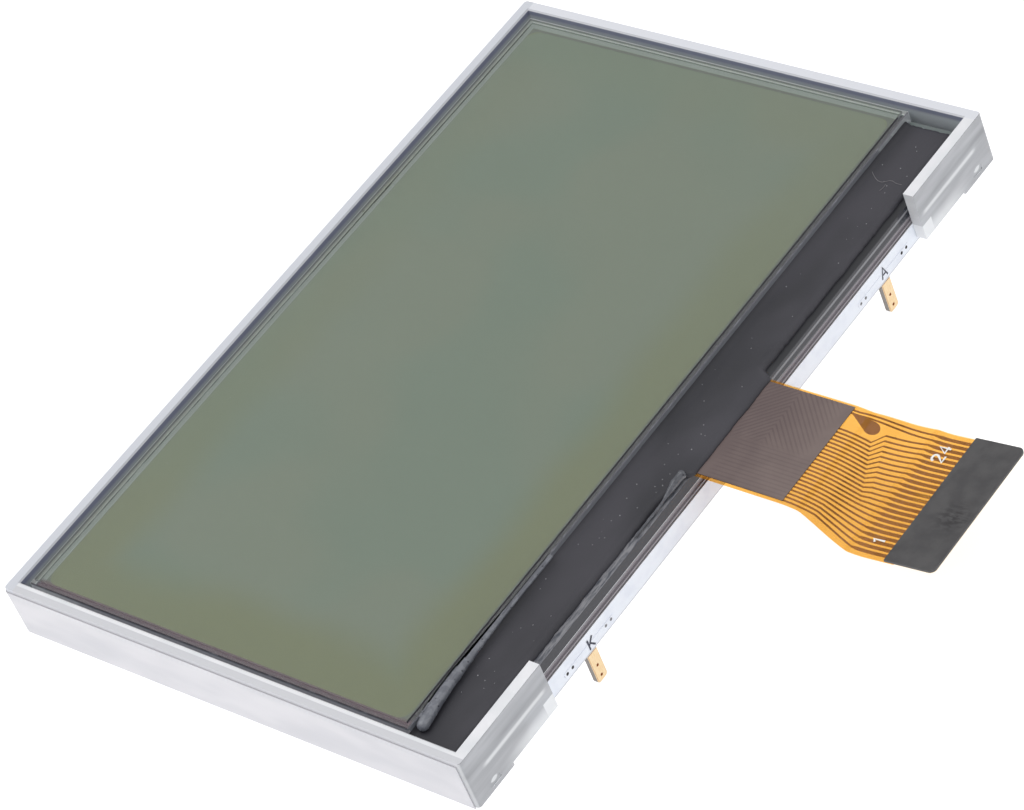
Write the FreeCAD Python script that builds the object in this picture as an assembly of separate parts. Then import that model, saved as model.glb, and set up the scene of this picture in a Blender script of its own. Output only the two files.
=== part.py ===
import FreeCAD, Part
import math
import os

# A small graphic liquid crystal display module, millimetres.
# A clear moulded tray is the light guide and the rim in one piece. The glass cell lies in its
# pocket, a strip of LEDs stands along the open long side and lights the tray's edge, and a
# flexible ribbon with 24 contacts leaves the glass ledge over that side.
# The origin is the centre of the module's rear face. +Z points out of the viewing face, +X runs
# along the long side towards the anode tab, and the ribbon leaves towards -Y.

# Module outline and its tray
module_length = 70.0
module_width = 46.0
module_height = 5.0
wall_short = 0.95
wall_long = 0.95
return_length = 10.0
guide_thick = 1.9
corner_radius = 0.3
rim_lead_in = 0.12
rim_round = 0.08
foot_relief = 0.3
foot_length = 4.4
mark_length = 1.3
mark_width = 0.6
mark_depth = 0.08
mark_inset = 2.3
mark_height = 0.75

# White films on the tray
tape_thick = 0.1
tape_top_gap = 0.4
tape_end_gap = 0.1
reflector_thick = 0.12
reflector_inset = 0.35

# LED strip
board_thick = 0.4
board_top_gap = 0.22
board_tuck = 2.5
board_gap = 0.05
slot_end_gap = 0.4
tab_width = 1.15
tab_drop = 3.0
tab_tip_radius = 0.3
anode_inset = 7.15
cathode_inset = 7.9
pad_thick = 0.03
pad_margin = 0.08
tab_hole_radius = 0.16
tab_hole_tip_gap = 0.5
tab_hole_step = 1.05
led_count = 8
led_end_margin = 2.9
led_length = 3.0
led_height = 1.4
led_depth = 0.8
led_base = 0.2
led_window_rim = 0.22
led_window_depth = 0.35
led_clearance = 0.1
guide_step = 0.3
track_width = 0.12
track_gap = 0.04
solder_length = 0.3
via_radius = 0.12
via_step = 0.66
anode_link_reach = 2.9
cathode_link_reach = 2.45

# Sheets between the tray and the glass
fit_gap = 0.2
sheet_thick = 0.13
led_tape_width = 3.3
frame_tape_thick = 0.25
frame_tape_width = 1.1
polariser_thick = 0.2
polariser_inset = 0.35

# Glass cell
glass_thick = 1.1
cell_gap = 0.04
mask_thick = 0.02
glass_side_gap = 0.45
glass_front_gap = 0.2
ledge_depth = 4.85
seal_inset = 0.2
seal_width = 0.45
mask_side_border = 0.25
mask_front_border = 0.55
mask_back_border = 0.05
view_radius = 1.3
fill_port_width = 2.4
fill_port_x = 12.0
plug_width = 5.0
plug_thick = 0.3

# What lies on the glass ledge
chip_length = 10.0
chip_width = 1.2
chip_thick = 0.3
chip_setback = 1.1
coat_cover = 0.05
coat_front_gap = 0.05
coat_recede = 0.7
bead_radius = 0.62
bead_tail_radius = 0.14
bead_start_gap = 1.9
bead_length = 16.0
root_bead_radius = 0.55

# Flexible ribbon
ribbon_x = 0.55
shoulder = 1.15
tail_edge_gap = 0.55
ribbon_reach = 22.1
bond_length = 1.6
bond_thick = 0.03
copper_thick = 0.02
film_thick = 0.05
back_film_thick = 0.03
shield_margin = 0.22
shield_length = 8.2
flat_length = 7.8
bend_radius = 9.0
droop_angle = 20.0
droop_run = 1.4
tail_rise = 6.0
flare_setback = 1.5
flare_length = 4.6
flare_round = 2.0
tail_corner = 0.5
contact_count = 24
contact_pitch = 0.5
finger_width = 0.34
finger_length = 3.6
trace_wide = 0.3
trace_narrow = 0.16
root_edge_gap = 0.35
bundle_gap = 2.4005
outer_pitch = 0.3
outer_edge_gap = 0.45
bundle_count = 22
bend_stagger = 0.15
bend_run = 0.55
spread_run = 3.5
pad_radius = 0.6
pad_edge_gap = 1.28
pad_drop = 2.05
stiffener_length = 4.4
stiffener_thick = 0.2

# Places worked out from the sizes above
tray_x = module_length / 2 - tape_thick
tray_back = module_width / 2 - tape_thick
tray_front = -module_width / 2
pocket_x = tray_x - wall_short
pocket_back = tray_back - wall_long
pocket_front = tray_front + wall_long
return_x = module_length / 2 - return_length
guide_top = reflector_thick + guide_thick
sheet_top = guide_top + sheet_thick
glass_base = sheet_top + frame_tape_thick
ledge_top = glass_base + glass_thick
cell_top = ledge_top + cell_gap
glass_top = cell_top + glass_thick
glass_x = pocket_x - glass_side_gap
glass_back = pocket_back - glass_side_gap
glass_front = pocket_front + glass_front_gap
upper_front = glass_front + ledge_depth
view_x = glass_x - seal_inset - seal_width - mask_side_border
view_front = upper_front + seal_inset + seal_width + mask_front_border
view_back = glass_back - seal_inset - seal_width - mask_back_border
board_length = 2 * (return_x + board_tuck)
board_height = guide_top - board_top_gap
board_front = pocket_front + board_gap
board_back = board_front + board_thick
anode_x = board_length / 2 - anode_inset
cathode_x = cathode_inset - board_length / 2
led_pitch = (board_length - 2 * led_end_margin - led_length) / (led_count - 1)
via_height = led_base + led_height / 2 - track_gap - via_radius - track_width
led_back = board_back + pad_thick
led_front = led_back + led_depth
pocket_floor_edge = led_front + led_clearance
guide_edge = pocket_floor_edge - guide_step
coat_thick = chip_thick + coat_cover
coat_top = ledge_top + coat_thick
ribbon_base_z = ledge_top + bond_thick + copper_thick
bond_start = glass_front + bond_length
ribbon_end = glass_front - ribbon_reach
tail_width = (contact_count - 1) * contact_pitch + 2 * tail_edge_gap
root_width = tail_width - 2 * shoulder
root_pitch = (root_width - root_edge_gap - bundle_gap) / (bundle_count - 1)
flare_start = shield_length + flare_setback
pad_reach = shield_length + pad_drop
first_bend = pad_reach + pad_radius
trace_spread_end = first_bend + spread_run
WIDE = 200.0


def box(x0, x1, y0, y1, z0, z1):
    """A box between two corners."""
    return Part.makeBox(x1 - x0, y1 - y0, z1 - z0, FreeCAD.Vector(x0, y0, z0))


def prism(points, z0, z1):
    """A straight-sided outline in plan, raised from z0 to z1."""
    corners = [FreeCAD.Vector(x, y, z0) for x, y in points]
    face = Part.Face(Part.makePolygon(corners + corners[:1]))
    return face.extrude(FreeCAD.Vector(0, 0, z1 - z0))


def rounded_box(x0, x1, y0, y1, z0, z1, radius):
    """A box with its four upright edges rounded."""
    block = box(x0, x1, y0, y1, z0, z1)
    return block.makeFillet(radius, upright_edges(block))


def upright_edges(shape, keep=lambda x, y: True):
    """The straight edges along Z whose place in plan passes the test."""
    chosen = []
    for edge in shape.Edges:
        first, last = edge.Vertexes[0].Point, edge.Vertexes[-1].Point
        level = math.hypot(first.x - last.x, first.y - last.y)
        if level < 1e-6 and keep(first.x, first.y):
            chosen.append(edge)
    return chosen


def edges_at_height(shape, z, keep):
    """The edges that lie at one height and whose middle passes the test."""
    chosen = []
    for edge in shape.Edges:
        box_z = edge.BoundBox
        if abs(box_z.ZMin - z) < 1e-6 and abs(box_z.ZMax - z) < 1e-6:
            middle = edge.valueAt((edge.FirstParameter + edge.LastParameter) / 2)
            if keep(middle.x, middle.y):
                chosen.append(edge)
    return chosen


def one_solid(shape):
    """The shape as a single clean solid."""
    return shape.removeSplitter().Solids[0]


def led_places():
    """The centres of the LEDs along X."""
    return [(i - (led_count - 1) / 2) * led_pitch for i in range(led_count)]


# Tray and its films

def light_guide_tray():
    """Clear tray: light guide plate, rim, two corner returns and a castellated inlet edge."""
    outer = rounded_box(-tray_x, tray_x, tray_front, tray_back, reflector_thick, module_height,
                        corner_radius)
    tray = outer.cut(box(-pocket_x, pocket_x, pocket_front, pocket_back, guide_top, module_height + 1))
    tray = tray.cut(box(-return_x, return_x, tray_front - 1, pocket_front, 0, module_height + 1))
    slot_x = board_length / 2 + slot_end_gap
    tray = tray.cut(box(-slot_x, slot_x, pocket_front, guide_edge, 0, guide_top + 1))
    half = led_length / 2 + led_clearance
    for x in led_places():
        tray = tray.cut(box(x - half, x + half, guide_edge - 1, pocket_floor_edge, 0, guide_top + 1))
    for side in (-1, 1):
        tray = tray.cut(return_foot(side)).cut(return_mark(side))
    on_pocket = edges_at_height(tray, module_height, pocket_rim_edge)
    tray = tray.makeChamfer(rim_lead_in, on_pocket)
    on_outline = edges_at_height(tray, module_height, outline_edge)
    return tray.makeFillet(rim_round, on_outline)


def pocket_rim_edge(x, y):
    """True for a top edge of the tray that borders the pocket."""
    along_side = abs(abs(x) - pocket_x) < 1e-6
    return along_side or abs(y - pocket_back) < 1e-6


def outline_edge(x, y):
    """True for a top edge of the tray on the closed part of its outer outline."""
    return abs(abs(x) - tray_x) < corner_radius or abs(y - tray_back) < corner_radius


def return_foot(side):
    """The shallow relief under the free part of a corner return."""
    x0, x1 = sorted((side * (return_x - 1), side * (module_length / 2 - foot_length)))
    return box(x0, x1, tray_front - 1, pocket_front, 0, reflector_thick + foot_relief)


def return_mark(side):
    """The oval tool mark on the outer face of a corner return."""
    centre = FreeCAD.Vector(side * (tray_x - mark_inset), tray_front + mark_depth, mark_height)
    straight = (mark_length - mark_width) / 2
    ends = [Part.makeCylinder(mark_width / 2, 1, centre + FreeCAD.Vector(shift, 0, 0), FreeCAD.Vector(0, -1, 0))
            for shift in (-straight, straight)]
    middle = box(centre.x - straight, centre.x + straight, centre.y - 1, centre.y,
                 centre.z - mark_width / 2, centre.z + mark_width / 2)
    return ends[0].fuse([ends[1], middle]).removeSplitter()


def edge_tape():
    """White strip wrapped round the back and the two short sides of the tray."""
    top = module_height - tape_top_gap
    outer = rounded_box(-tray_x - tape_thick, tray_x + tape_thick, tray_front - tape_thick,
                        tray_back + tape_thick, 0, top, corner_radius + tape_thick)
    inner = rounded_box(-tray_x, tray_x, tray_front, tray_back, -1, top + 1, corner_radius)
    end = tray_front + corner_radius + tape_end_gap
    return one_solid(outer.cut(inner).cut(box(-WIDE, WIDE, -WIDE, end, -1, top + 1)))


def rear_reflector():
    """White film under the light guide, cut out where the LED strip stands."""
    x = module_length / 2 - reflector_inset
    front = board_back + board_gap
    return box(-x, x, front, tray_back - reflector_inset, 0, reflector_thick)


# LED strip

def tab_outline(centre, bottom, width):
    """A tab that hangs down from the strip, with a rounded tip, as a solid as thick as the board."""
    tab = box(centre - width / 2, centre + width / 2, board_front, board_back, bottom, board_height / 2)
    tip = [edge for edge in tab.Edges
           if abs(edge.BoundBox.ZMax - bottom) < 1e-6 and edge.BoundBox.YLength > board_thick / 2]
    return tab.makeFillet(tab_tip_radius, tip)


def tab_hole_z(i):
    """The height of a tab's hole, counted from the tip."""
    return -tab_drop + tab_hole_tip_gap + i * tab_hole_step


def tab_holes(centre, radius):
    """The two plated holes in a tab."""
    holes = []
    for i in range(2):
        place = FreeCAD.Vector(centre, board_front - 1, tab_hole_z(i))
        holes.append(Part.makeCylinder(radius, board_thick + 2, place, FreeCAD.Vector(0, 1, 0)))
    return holes


def led_board():
    """Glass-fibre strip that stands on its long edge, with the two solder tabs."""
    strip = box(-board_length / 2, board_length / 2, board_front, board_back, 0, board_height)
    for centre in (anode_x, cathode_x):
        strip = strip.fuse(tab_outline(centre, -tab_drop, tab_width))
        for hole in tab_holes(centre, tab_hole_radius) + via_cylinders(centre, via_radius):
            strip = strip.cut(hole)
    return one_solid(strip)


def link_reach(centre):
    """How far a link's vias lie to each side of its tab."""
    return anode_link_reach if centre == anode_x else cathode_link_reach


def via_cylinders(centre, radius):
    """The pairs of vias on both sides of a tab, through the strip and its copper."""
    reach = link_reach(centre)
    depth = board_thick + 2 * pad_thick
    made = []
    for side in (-1, 1):
        for shift in (-via_step / 2, via_step / 2):
            place = FreeCAD.Vector(centre + side * reach + shift, board_front - pad_thick, via_height)
            made.append(Part.makeCylinder(radius, depth, place, FreeCAD.Vector(0, 1, 0)))
    return made


def link_plate(centre, tracks):
    """Copper link on the strip's outer face, which carries the lower rail across a tab's feed."""
    reach = link_reach(centre) + via_step
    half = via_radius + track_width
    link = box(centre - reach, centre + reach, board_front - pad_thick, board_front,
               via_height - half, via_height + half)
    for via in via_cylinders(centre, via_radius):
        link = link.fuse(via)
    for bore in via_cylinders(centre, via_radius - pad_thick):
        link = link.cut(bore)
    for side in (-1, 1):
        x = centre + side * link_reach(centre)
        foot = box(x - 0.75 * via_step, x + 0.75 * via_step, board_back, board_back + pad_thick,
                   1.5 * track_width, via_height + half)
        link = link.fuse(foot.cut(Part.makeCompound(via_cylinders(centre, via_radius))))
    return one_solid(link.cut(tracks))


def tab_plating(centre):
    """Gold-plated copper on both faces of a tab, joined through its two holes."""
    width = tab_width - 2 * pad_margin
    x0, x1 = centre - width / 2, centre + width / 2
    z0, z1 = -tab_drop + pad_margin, -pad_margin
    front = box(x0, x1, board_front - pad_thick, board_front, z0, z1)
    back = box(x0, x1, board_back, board_back + pad_thick, z0, z1)
    plating = front.fuse(back)
    for i in range(2):
        place = FreeCAD.Vector(centre, board_front - pad_thick, tab_hole_z(i))
        along = FreeCAD.Vector(0, 1, 0)
        depth = board_thick + 2 * pad_thick
        plating = plating.fuse(Part.makeCylinder(tab_hole_radius, depth, place, along))
        plating = plating.cut(Part.makeCylinder(tab_hole_radius - pad_thick, depth, place, along))
    rounded = [edge for edge in plating.Edges
               if abs(edge.BoundBox.ZMax - z0) < 1e-6 and edge.BoundBox.XLength < 1e-6]
    return one_solid(plating.makeFillet(tab_tip_radius - pad_margin, rounded))


def track(centre, rail_z, end_side):
    """Copper rail on the strip's inner face with one pad under an end of every LED."""
    y0, y1 = board_back, board_back + pad_thick
    reach = led_places()[-1] + led_length / 2 + track_width
    rail = box(-reach, reach, y0, y1, rail_z, rail_z + track_width)
    z0, z1 = sorted((rail_z, led_base + led_height / 2))
    for x in led_places():
        end = x + end_side * led_length / 2
        inside, outside = end - end_side * solder_length, end + end_side * solder_length
        rail = rail.fuse(box(min(inside, outside), max(inside, outside), y0, y1, z0, z1 + track_width))
    feed = box(centre - tab_width / 4, centre + tab_width / 4, y0, y1, -pad_margin, rail_z + track_width)
    return rail.fuse(feed)


def anode_track():
    """The rail along the strip's upper edge."""
    whole = track(anode_x, board_height - 1.5 * track_width, 1)
    return one_solid(whole)


def cathode_track():
    """The rail along the strip's lower edge, broken where the anode feed passes."""
    rail = track(cathode_x, track_width / 2, -1)
    feed = box(anode_x - tab_width / 2, anode_x + tab_width / 2, -WIDE, WIDE, -1, 2 * track_width)
    return rail.cut(feed).removeSplitter()


def led_housing(x):
    """White resin LED package, hollowed where it shines into the tray."""
    body = box(x - led_length / 2, x + led_length / 2, led_back, led_front, led_base, led_base + led_height)
    return body.cut(led_cavity(x))


def led_cavity(x):
    """The tapered hollow in an LED package."""
    mouth = led_rectangle(x, led_window_rim, led_front)
    floor = led_rectangle(x, 2 * led_window_rim, led_front - led_window_depth)
    return Part.makeLoft([floor, mouth], True, True)


def led_rectangle(x, rim, y):
    """A rectangle one rim inside the LED's face, at depth y."""
    x0, x1 = x - led_length / 2 + rim, x + led_length / 2 - rim
    z0, z1 = led_base + rim, led_base + led_height - rim
    corners = [FreeCAD.Vector(*p) for p in ((x0, y, z0), (x1, y, z0), (x1, y, z1), (x0, y, z1))]
    return Part.makePolygon(corners + corners[:1])


def led_solder():
    """A small solder fillet at both ends of every LED, on the track pads."""
    fillets = []
    z0, z1 = led_base + led_window_rim, led_base + led_height - led_window_rim
    for x in led_places():
        for side in (-1, 1):
            end = x + side * led_length / 2
            corners = [FreeCAD.Vector(end, led_back, z0),
                       FreeCAD.Vector(end + side * solder_length, led_back, z0),
                       FreeCAD.Vector(end, led_back + solder_length, z0)]
            face = Part.Face(Part.makePolygon(corners + corners[:1]))
            fillets.append(face.extrude(FreeCAD.Vector(0, 0, z1 - z0)))
    return Part.makeCompound(fillets)


# Sheets and tapes in the pocket

def led_tape():
    """Opaque tape that covers the LEDs and the inlet edge of the light guide."""
    x = pocket_x - fit_gap
    front = pocket_front + board_gap
    return box(-x, x, front, front + led_tape_width, guide_top, sheet_top)


def diffuser_sheet():
    """Milky sheet on the light guide, behind the tape over the LEDs."""
    x = pocket_x - fit_gap
    front = pocket_front + board_gap + led_tape_width
    return box(-x, x, front, pocket_back - fit_gap, guide_top, sheet_top)


def lower_polariser():
    """Polarising film under the lower glass, inside the frame of tape."""
    inset = frame_tape_width + polariser_inset
    return box(-glass_x + inset, glass_x - inset, glass_front + inset + polariser_inset,
               glass_back - inset, glass_base - polariser_thick, glass_base)


def frame_tape():
    """Double-sided frame of tape that holds the glass on the sheets below."""
    outer = box(-glass_x, glass_x, glass_front, glass_back, sheet_top, glass_base)
    width = frame_tape_width
    inner = box(-glass_x + width, glass_x - width, glass_front + width, glass_back - width,
                sheet_top - 1, glass_base + 1)
    return outer.cut(inner)


# Glass cell

def lower_glass():
    """Glass plate that carries the ledge, the driver chip and the ribbon."""
    return box(-glass_x, glass_x, glass_front, glass_back, glass_base, ledge_top)


def upper_glass():
    """Shorter glass plate that leaves the ledge free."""
    return box(-glass_x, glass_x, upper_front, glass_back, cell_top, glass_top)


def upper_polariser():
    """Polarising film on the viewing face."""
    inset = polariser_inset
    return box(-glass_x + inset, glass_x - inset, upper_front + inset, glass_back - inset,
               glass_top, glass_top + polariser_thick)


def seal_band(inset, z0, z1):
    """A block as large as the cell, held back from the upper glass's outline."""
    return box(-glass_x + inset, glass_x - inset, upper_front + inset, glass_back - inset, z0, z1)


def fill_port():
    """The gap in the seal at the back edge."""
    half = fill_port_width / 2
    return box(fill_port_x - half, fill_port_x + half, 0, WIDE, 0, module_height)


def cell_seal():
    """Epoxy seal round the cell, open at the fill port."""
    ring = seal_band(seal_inset, ledge_top, cell_top)
    ring = ring.cut(seal_band(seal_inset + seal_width, ledge_top - 1, cell_top + 1))
    return ring.cut(fill_port())


def view_mask():
    """Dark printed frame under the upper glass, with the rounded viewing window."""
    frame = seal_band(seal_inset + seal_width, cell_top - mask_thick, cell_top)
    window = rounded_box(-view_x, view_x, view_front, view_back, 0, glass_top, view_radius)
    return frame.cut(window)


def liquid_crystal(mask):
    """The liquid crystal layer, which fills the cell round the mask."""
    return seal_band(seal_inset + seal_width, ledge_top, cell_top).cut(mask)


def fill_port_plug():
    """Drop of resin that closes the fill port, on the back edge of the two glasses."""
    mid_z = ledge_top + cell_gap / 2
    sag = plug_thick
    radius = (plug_width ** 2 / 4 + sag ** 2) / (2 * sag)
    drop = Part.makeCylinder(radius, glass_thick, FreeCAD.Vector(fill_port_x, glass_back + sag - radius,
                             mid_z - glass_thick / 2))
    return drop.common(box(-WIDE, WIDE, glass_back, WIDE, 0, module_height))


# Glass ledge

def driver_chip():
    """Bare driver chip bonded face down on the ledge."""
    front = upper_front - chip_setback - chip_width
    half = chip_length / 2
    return box(ribbon_x - half, ribbon_x + half, front, front + chip_width, ledge_top,
               ledge_top + chip_thick)


def coat_front_curve():
    """The uneven front edge of the black coating, which draws back towards the anode end."""
    y = glass_front + coat_front_gap
    steady = return_x - 2 * coat_recede
    beyond = (return_x + pocket_x) / 2
    knots = [(-pocket_x, y), (-0.5 * return_x, y + 0.06), (0, y), (steady * 0.7, y + 0.04),
             (steady, y + 0.12), (return_x, y + 0.8 * coat_recede), (beyond, y + coat_recede),
             (pocket_x, y + 0.8 * coat_recede)]
    curve = Part.BSplineCurve()
    curve.interpolate([FreeCAD.Vector(px, py, ledge_top) for px, py in knots])
    return curve


def ledge_coating():
    """Black resin brushed over the ledge, the chip and the ribbon's root."""
    front = coat_front_curve().toShape()
    left, right = front.Vertexes[0].Point, front.Vertexes[-1].Point
    back_right = FreeCAD.Vector(right.x, upper_front, ledge_top)
    back_left = FreeCAD.Vector(left.x, upper_front, ledge_top)
    sides = [Part.makeLine(right, back_right), Part.makeLine(back_right, back_left),
             Part.makeLine(back_left, left)]
    coat = Part.Face(Part.Wire([front] + sides)).extrude(FreeCAD.Vector(0, 0, coat_thick))
    root = ribbon_root_space()
    return one_solid(coat.cut(driver_chip()).cut(root))


def ribbon_root_space():
    """The room that the ribbon's root and its bond take under the coating."""
    half = root_width / 2
    top = ribbon_base_z + 2 * film_thick
    return box(ribbon_x - half, ribbon_x + half, -WIDE, bond_start, ledge_top, top)


def edge_bead():
    """Bead of clear silicone along the upper glass's front edge, thick at the cathode end."""
    start = -glass_x + bead_start_gap
    stations = ((0.0, 0.94), (0.18, 1.0), (0.45, 0.62), (1.0, bead_tail_radius / bead_radius))
    rings = []
    for share, scale in stations:
        centre = FreeCAD.Vector(start + share * bead_length, upper_front - 0.6 * bead_radius * scale, coat_top)
        circle = Part.makeCircle(bead_radius * scale, centre, FreeCAD.Vector(1, 0, 0))
        rings.append(Part.Wire([circle]))
    body = Part.makeLoft(rings, True, False)
    first = stations[0][1] * bead_radius
    body = body.fuse(Part.makeSphere(first, FreeCAD.Vector(start, upper_front - 0.6 * first, coat_top)))
    above = box(-WIDE, WIDE, -WIDE, upper_front, coat_top, module_height)
    return one_solid(body.common(above))


def root_bead():
    """Drop of silicone on the coating beside the ribbon's root."""
    centre = FreeCAD.Vector(ribbon_x - root_width / 2, glass_front + 2 * root_bead_radius, coat_top)
    ball = Part.makeSphere(root_bead_radius, centre)
    return ball.common(box(-WIDE, WIDE, -WIDE, WIDE, coat_top, module_height))


# Ribbon

class RibbonPath:
    """The ribbon's line in side view: flat, a bend down, a short run, a bend up and the tail."""

    def __init__(self):
        self.y, self.z, self.heading = bond_start, ribbon_base_z, 0.0
        self.pieces = []
        self.line(bond_length + flat_length)
        self.arc(-droop_angle)
        self.line(droop_run)
        self.arc(droop_angle + tail_rise)
        self.line(2 * ribbon_reach)

    def place(self, y, z, heading, lift):
        """A point a given height above the path."""
        return FreeCAD.Vector(0, y + lift * math.sin(heading), z + lift * math.cos(heading))

    def line(self, length):
        """Add a straight run."""
        end_y = self.y - length * math.cos(self.heading)
        end_z = self.z + length * math.sin(self.heading)
        self.pieces.append(((self.y, self.z, self.heading), None, (end_y, end_z, self.heading)))
        self.y, self.z = end_y, end_z

    def arc(self, turn):
        """Add a bend, upwards when the turn is positive."""
        start = (self.y, self.z, self.heading)
        middle = self.turned(math.radians(turn) / 2)
        end = self.turned(math.radians(turn))
        self.pieces.append((start, middle, end))
        self.y, self.z, self.heading = end

    def turned(self, turn):
        """Where the path is after a bend of this size from where it stands."""
        side = math.copysign(bend_radius, turn)
        y = self.y - side * (math.sin(self.heading + turn) - math.sin(self.heading))
        z = self.z - side * (math.cos(self.heading + turn) - math.cos(self.heading))
        return y, z, self.heading + turn

    def edges(self, lift):
        """The path's edges, all a given height above it."""
        made = []
        for start, middle, end in self.pieces:
            if middle is None:
                made.append(Part.makeLine(self.place(*start, lift), self.place(*end, lift)))
            else:
                through = [self.place(*state, lift) for state in (start, middle, end)]
                made.append(Part.Arc(*through).toShape())
        return made


def ribbon_layer(low, high, outline):
    """The part of an outline, given as an upright solid, that lies between two heights on the ribbon."""
    path = RibbonPath()
    lower, upper = path.edges(low), path.edges(high)
    ends = [Part.makeLine(lower[0].Vertexes[0].Point, upper[0].Vertexes[0].Point),
            Part.makeLine(lower[-1].Vertexes[-1].Point, upper[-1].Vertexes[-1].Point)]
    face = Part.Face(Part.Wire(Part.__sortEdges__(lower + upper + ends)))
    face.translate(FreeCAD.Vector(ribbon_x - tail_width, 0, 0))
    return face.extrude(FreeCAD.Vector(2 * tail_width, 0, 0)).common(outline)


def ribbon_outline(start, end):
    """The ribbon in plan between two distances from the glass edge, as an upright solid."""
    root, tail = root_width / 2, tail_width / 2
    flare0 = glass_front - flare_start
    flare1 = flare0 - flare_length
    right = [(root, bond_start), (root, flare0), (tail, flare1), (tail, ribbon_end)]
    left = [(-x, y) for x, y in reversed(right)]
    shape = prism([(ribbon_x + x, y) for x, y in right + left], -WIDE, WIDE)
    at_flare = upright_edges(shape, lambda x, y: abs(y - flare0) < 1e-6 or abs(y - flare1) < 1e-6)
    shape = shape.makeFillet(flare_round, at_flare)
    at_end = upright_edges(shape, lambda x, y: abs(y - ribbon_end) < 1e-6)
    shape = shape.makeFillet(tail_corner, at_end)
    return shape.common(box(-WIDE, WIDE, glass_front - end, glass_front - start, -WIDE, WIDE))


def ribbon_base():
    """Amber polyimide film, the ribbon's full length."""
    return ribbon_layer(0, film_thick, ribbon_outline(-bond_length, ribbon_reach))


def ribbon_shield():
    """Copper screen on the upper side of the ribbon's first part."""
    margin = shield_margin
    half = root_width / 2 - margin
    plan = box(ribbon_x - half, ribbon_x + half, glass_front - shield_length, bond_start, -WIDE, WIDE)
    return ribbon_layer(film_thick, film_thick + copper_thick, plan)


def ribbon_cover(shield):
    """Amber cover film over the screen, up to the stiffener."""
    end = ribbon_reach - stiffener_length
    cover = ribbon_layer(film_thick, 2 * film_thick, ribbon_outline(-bond_length, end))
    return cover.cut(shield)


def ribbon_back_film():
    """Cover film under the traces, which leaves the contacts and the bonded root bare."""
    start = board_gap
    end = ribbon_reach - finger_length
    return ribbon_layer(-copper_thick - back_film_thick, -copper_thick, ribbon_outline(start, end))


def ribbon_stiffener():
    """Dark plate on top of the tail, opposite the contacts."""
    start = ribbon_reach - stiffener_length
    return ribbon_layer(film_thick, film_thick + stiffener_thick, ribbon_outline(start, ribbon_reach))


def tail_x(number):
    """Where contact number 1 to 24 lies across the tail."""
    return ribbon_x + (number - (contact_count + 1) / 2) * contact_pitch


def root_x(number):
    """Where a trace lies across the root: an even bundle, and two traces beyond the pad."""
    if number <= bundle_count:
        return ribbon_x - root_width / 2 + root_edge_gap + (number - 1) * root_pitch
    spare = contact_count - number
    return ribbon_x + root_width / 2 - outer_edge_gap - spare * outer_pitch


def trace_route(number):
    """A trace's centre line in plan, from the root to the tail, as points."""
    x0, x1 = root_x(number), tail_x(number)
    bend, middle = first_bend, 0.45
    if number > bundle_count:
        settle = bend + bend_run
        bend = shield_length + bend_run
    elif x1 > x0:
        bend += bend_stagger * (bundle_count - number)
        settle, middle = bend + bend_run, 0.55
    else:
        settle = (bend + trace_spread_end) / 2
    y = glass_front
    return [(x0, bond_start), (x0, y - bend), (x0 + middle * (x1 - x0), y - settle),
            (x1, y - trace_spread_end), (x1, ribbon_end)]


def trace_outline(number):
    """A trace in plan: narrow up to where it settles, then as wide as its contact."""
    route = trace_route(number)
    widths = [trace_narrow] * 4 + [trace_wide] * 2
    x_last, y_settle = route[3]
    route.insert(4, (x_last, y_settle - bend_run))
    left = [(x - width / 2, y) for (x, y), width in zip(route, widths)]
    right = [(x + width / 2, y) for (x, y), width in zip(route, widths)]
    return prism(left + right[::-1], -WIDE, WIDE)


def ribbon_traces():
    """The 24 copper traces under the base film, one of them with the test pad."""
    inside = box(-WIDE, WIDE, ribbon_end + pad_margin, WIDE, -WIDE, WIDE)
    solids = []
    for number in range(1, contact_count + 1):
        plan = trace_outline(number).common(inside)
        if number == bundle_count + 1:
            plan = one_solid(plan.fuse(pad_outline()))
        solids += ribbon_layer(-copper_thick, 0, plan).Solids
    return Part.makeCompound(solids)


def pad_outline():
    """Teardrop test pad in plan, hung on the first trace beyond the bundle, which bends round it."""
    centre_x = ribbon_x + root_width / 2 - pad_edge_gap
    centre_y = glass_front - pad_reach
    tip = (root_x(bundle_count + 1), glass_front - shield_length)
    disc = Part.makeCylinder(pad_radius, 2 * WIDE, FreeCAD.Vector(centre_x, centre_y, -WIDE))
    reach = math.hypot(tip[0] - centre_x, tip[1] - centre_y)
    toward = math.atan2(tip[1] - centre_y, tip[0] - centre_x)
    spread = math.acos(pad_radius / reach)
    touch = [(centre_x + pad_radius * math.cos(toward + s * spread),
              centre_y + pad_radius * math.sin(toward + s * spread)) for s in (-1, 1)]
    drop = disc.fuse(prism([tip, touch[1], (centre_x, centre_y), touch[0]], -WIDE, WIDE))
    return one_solid(drop)


def contact_fingers():
    """Gold plating on the 24 contacts, on the underside of the tail."""
    y1 = glass_front - ribbon_reach + finger_length - pad_margin
    fingers = []
    for number in range(1, contact_count + 1):
        x = tail_x(number)
        plan = box(x - finger_width / 2, x + finger_width / 2, ribbon_end + pad_margin, y1, -WIDE, WIDE)
        fingers += ribbon_layer(-2 * copper_thick, -copper_thick, plan).Solids
    return Part.makeCompound(fingers)


def bonding_film():
    """Thin conductive film that bonds the ribbon's root to the ledge."""
    half = root_width / 2 - shield_margin
    return box(ribbon_x - half, ribbon_x + half, glass_front, bond_start, ledge_top, ledge_top + bond_thick)


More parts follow.
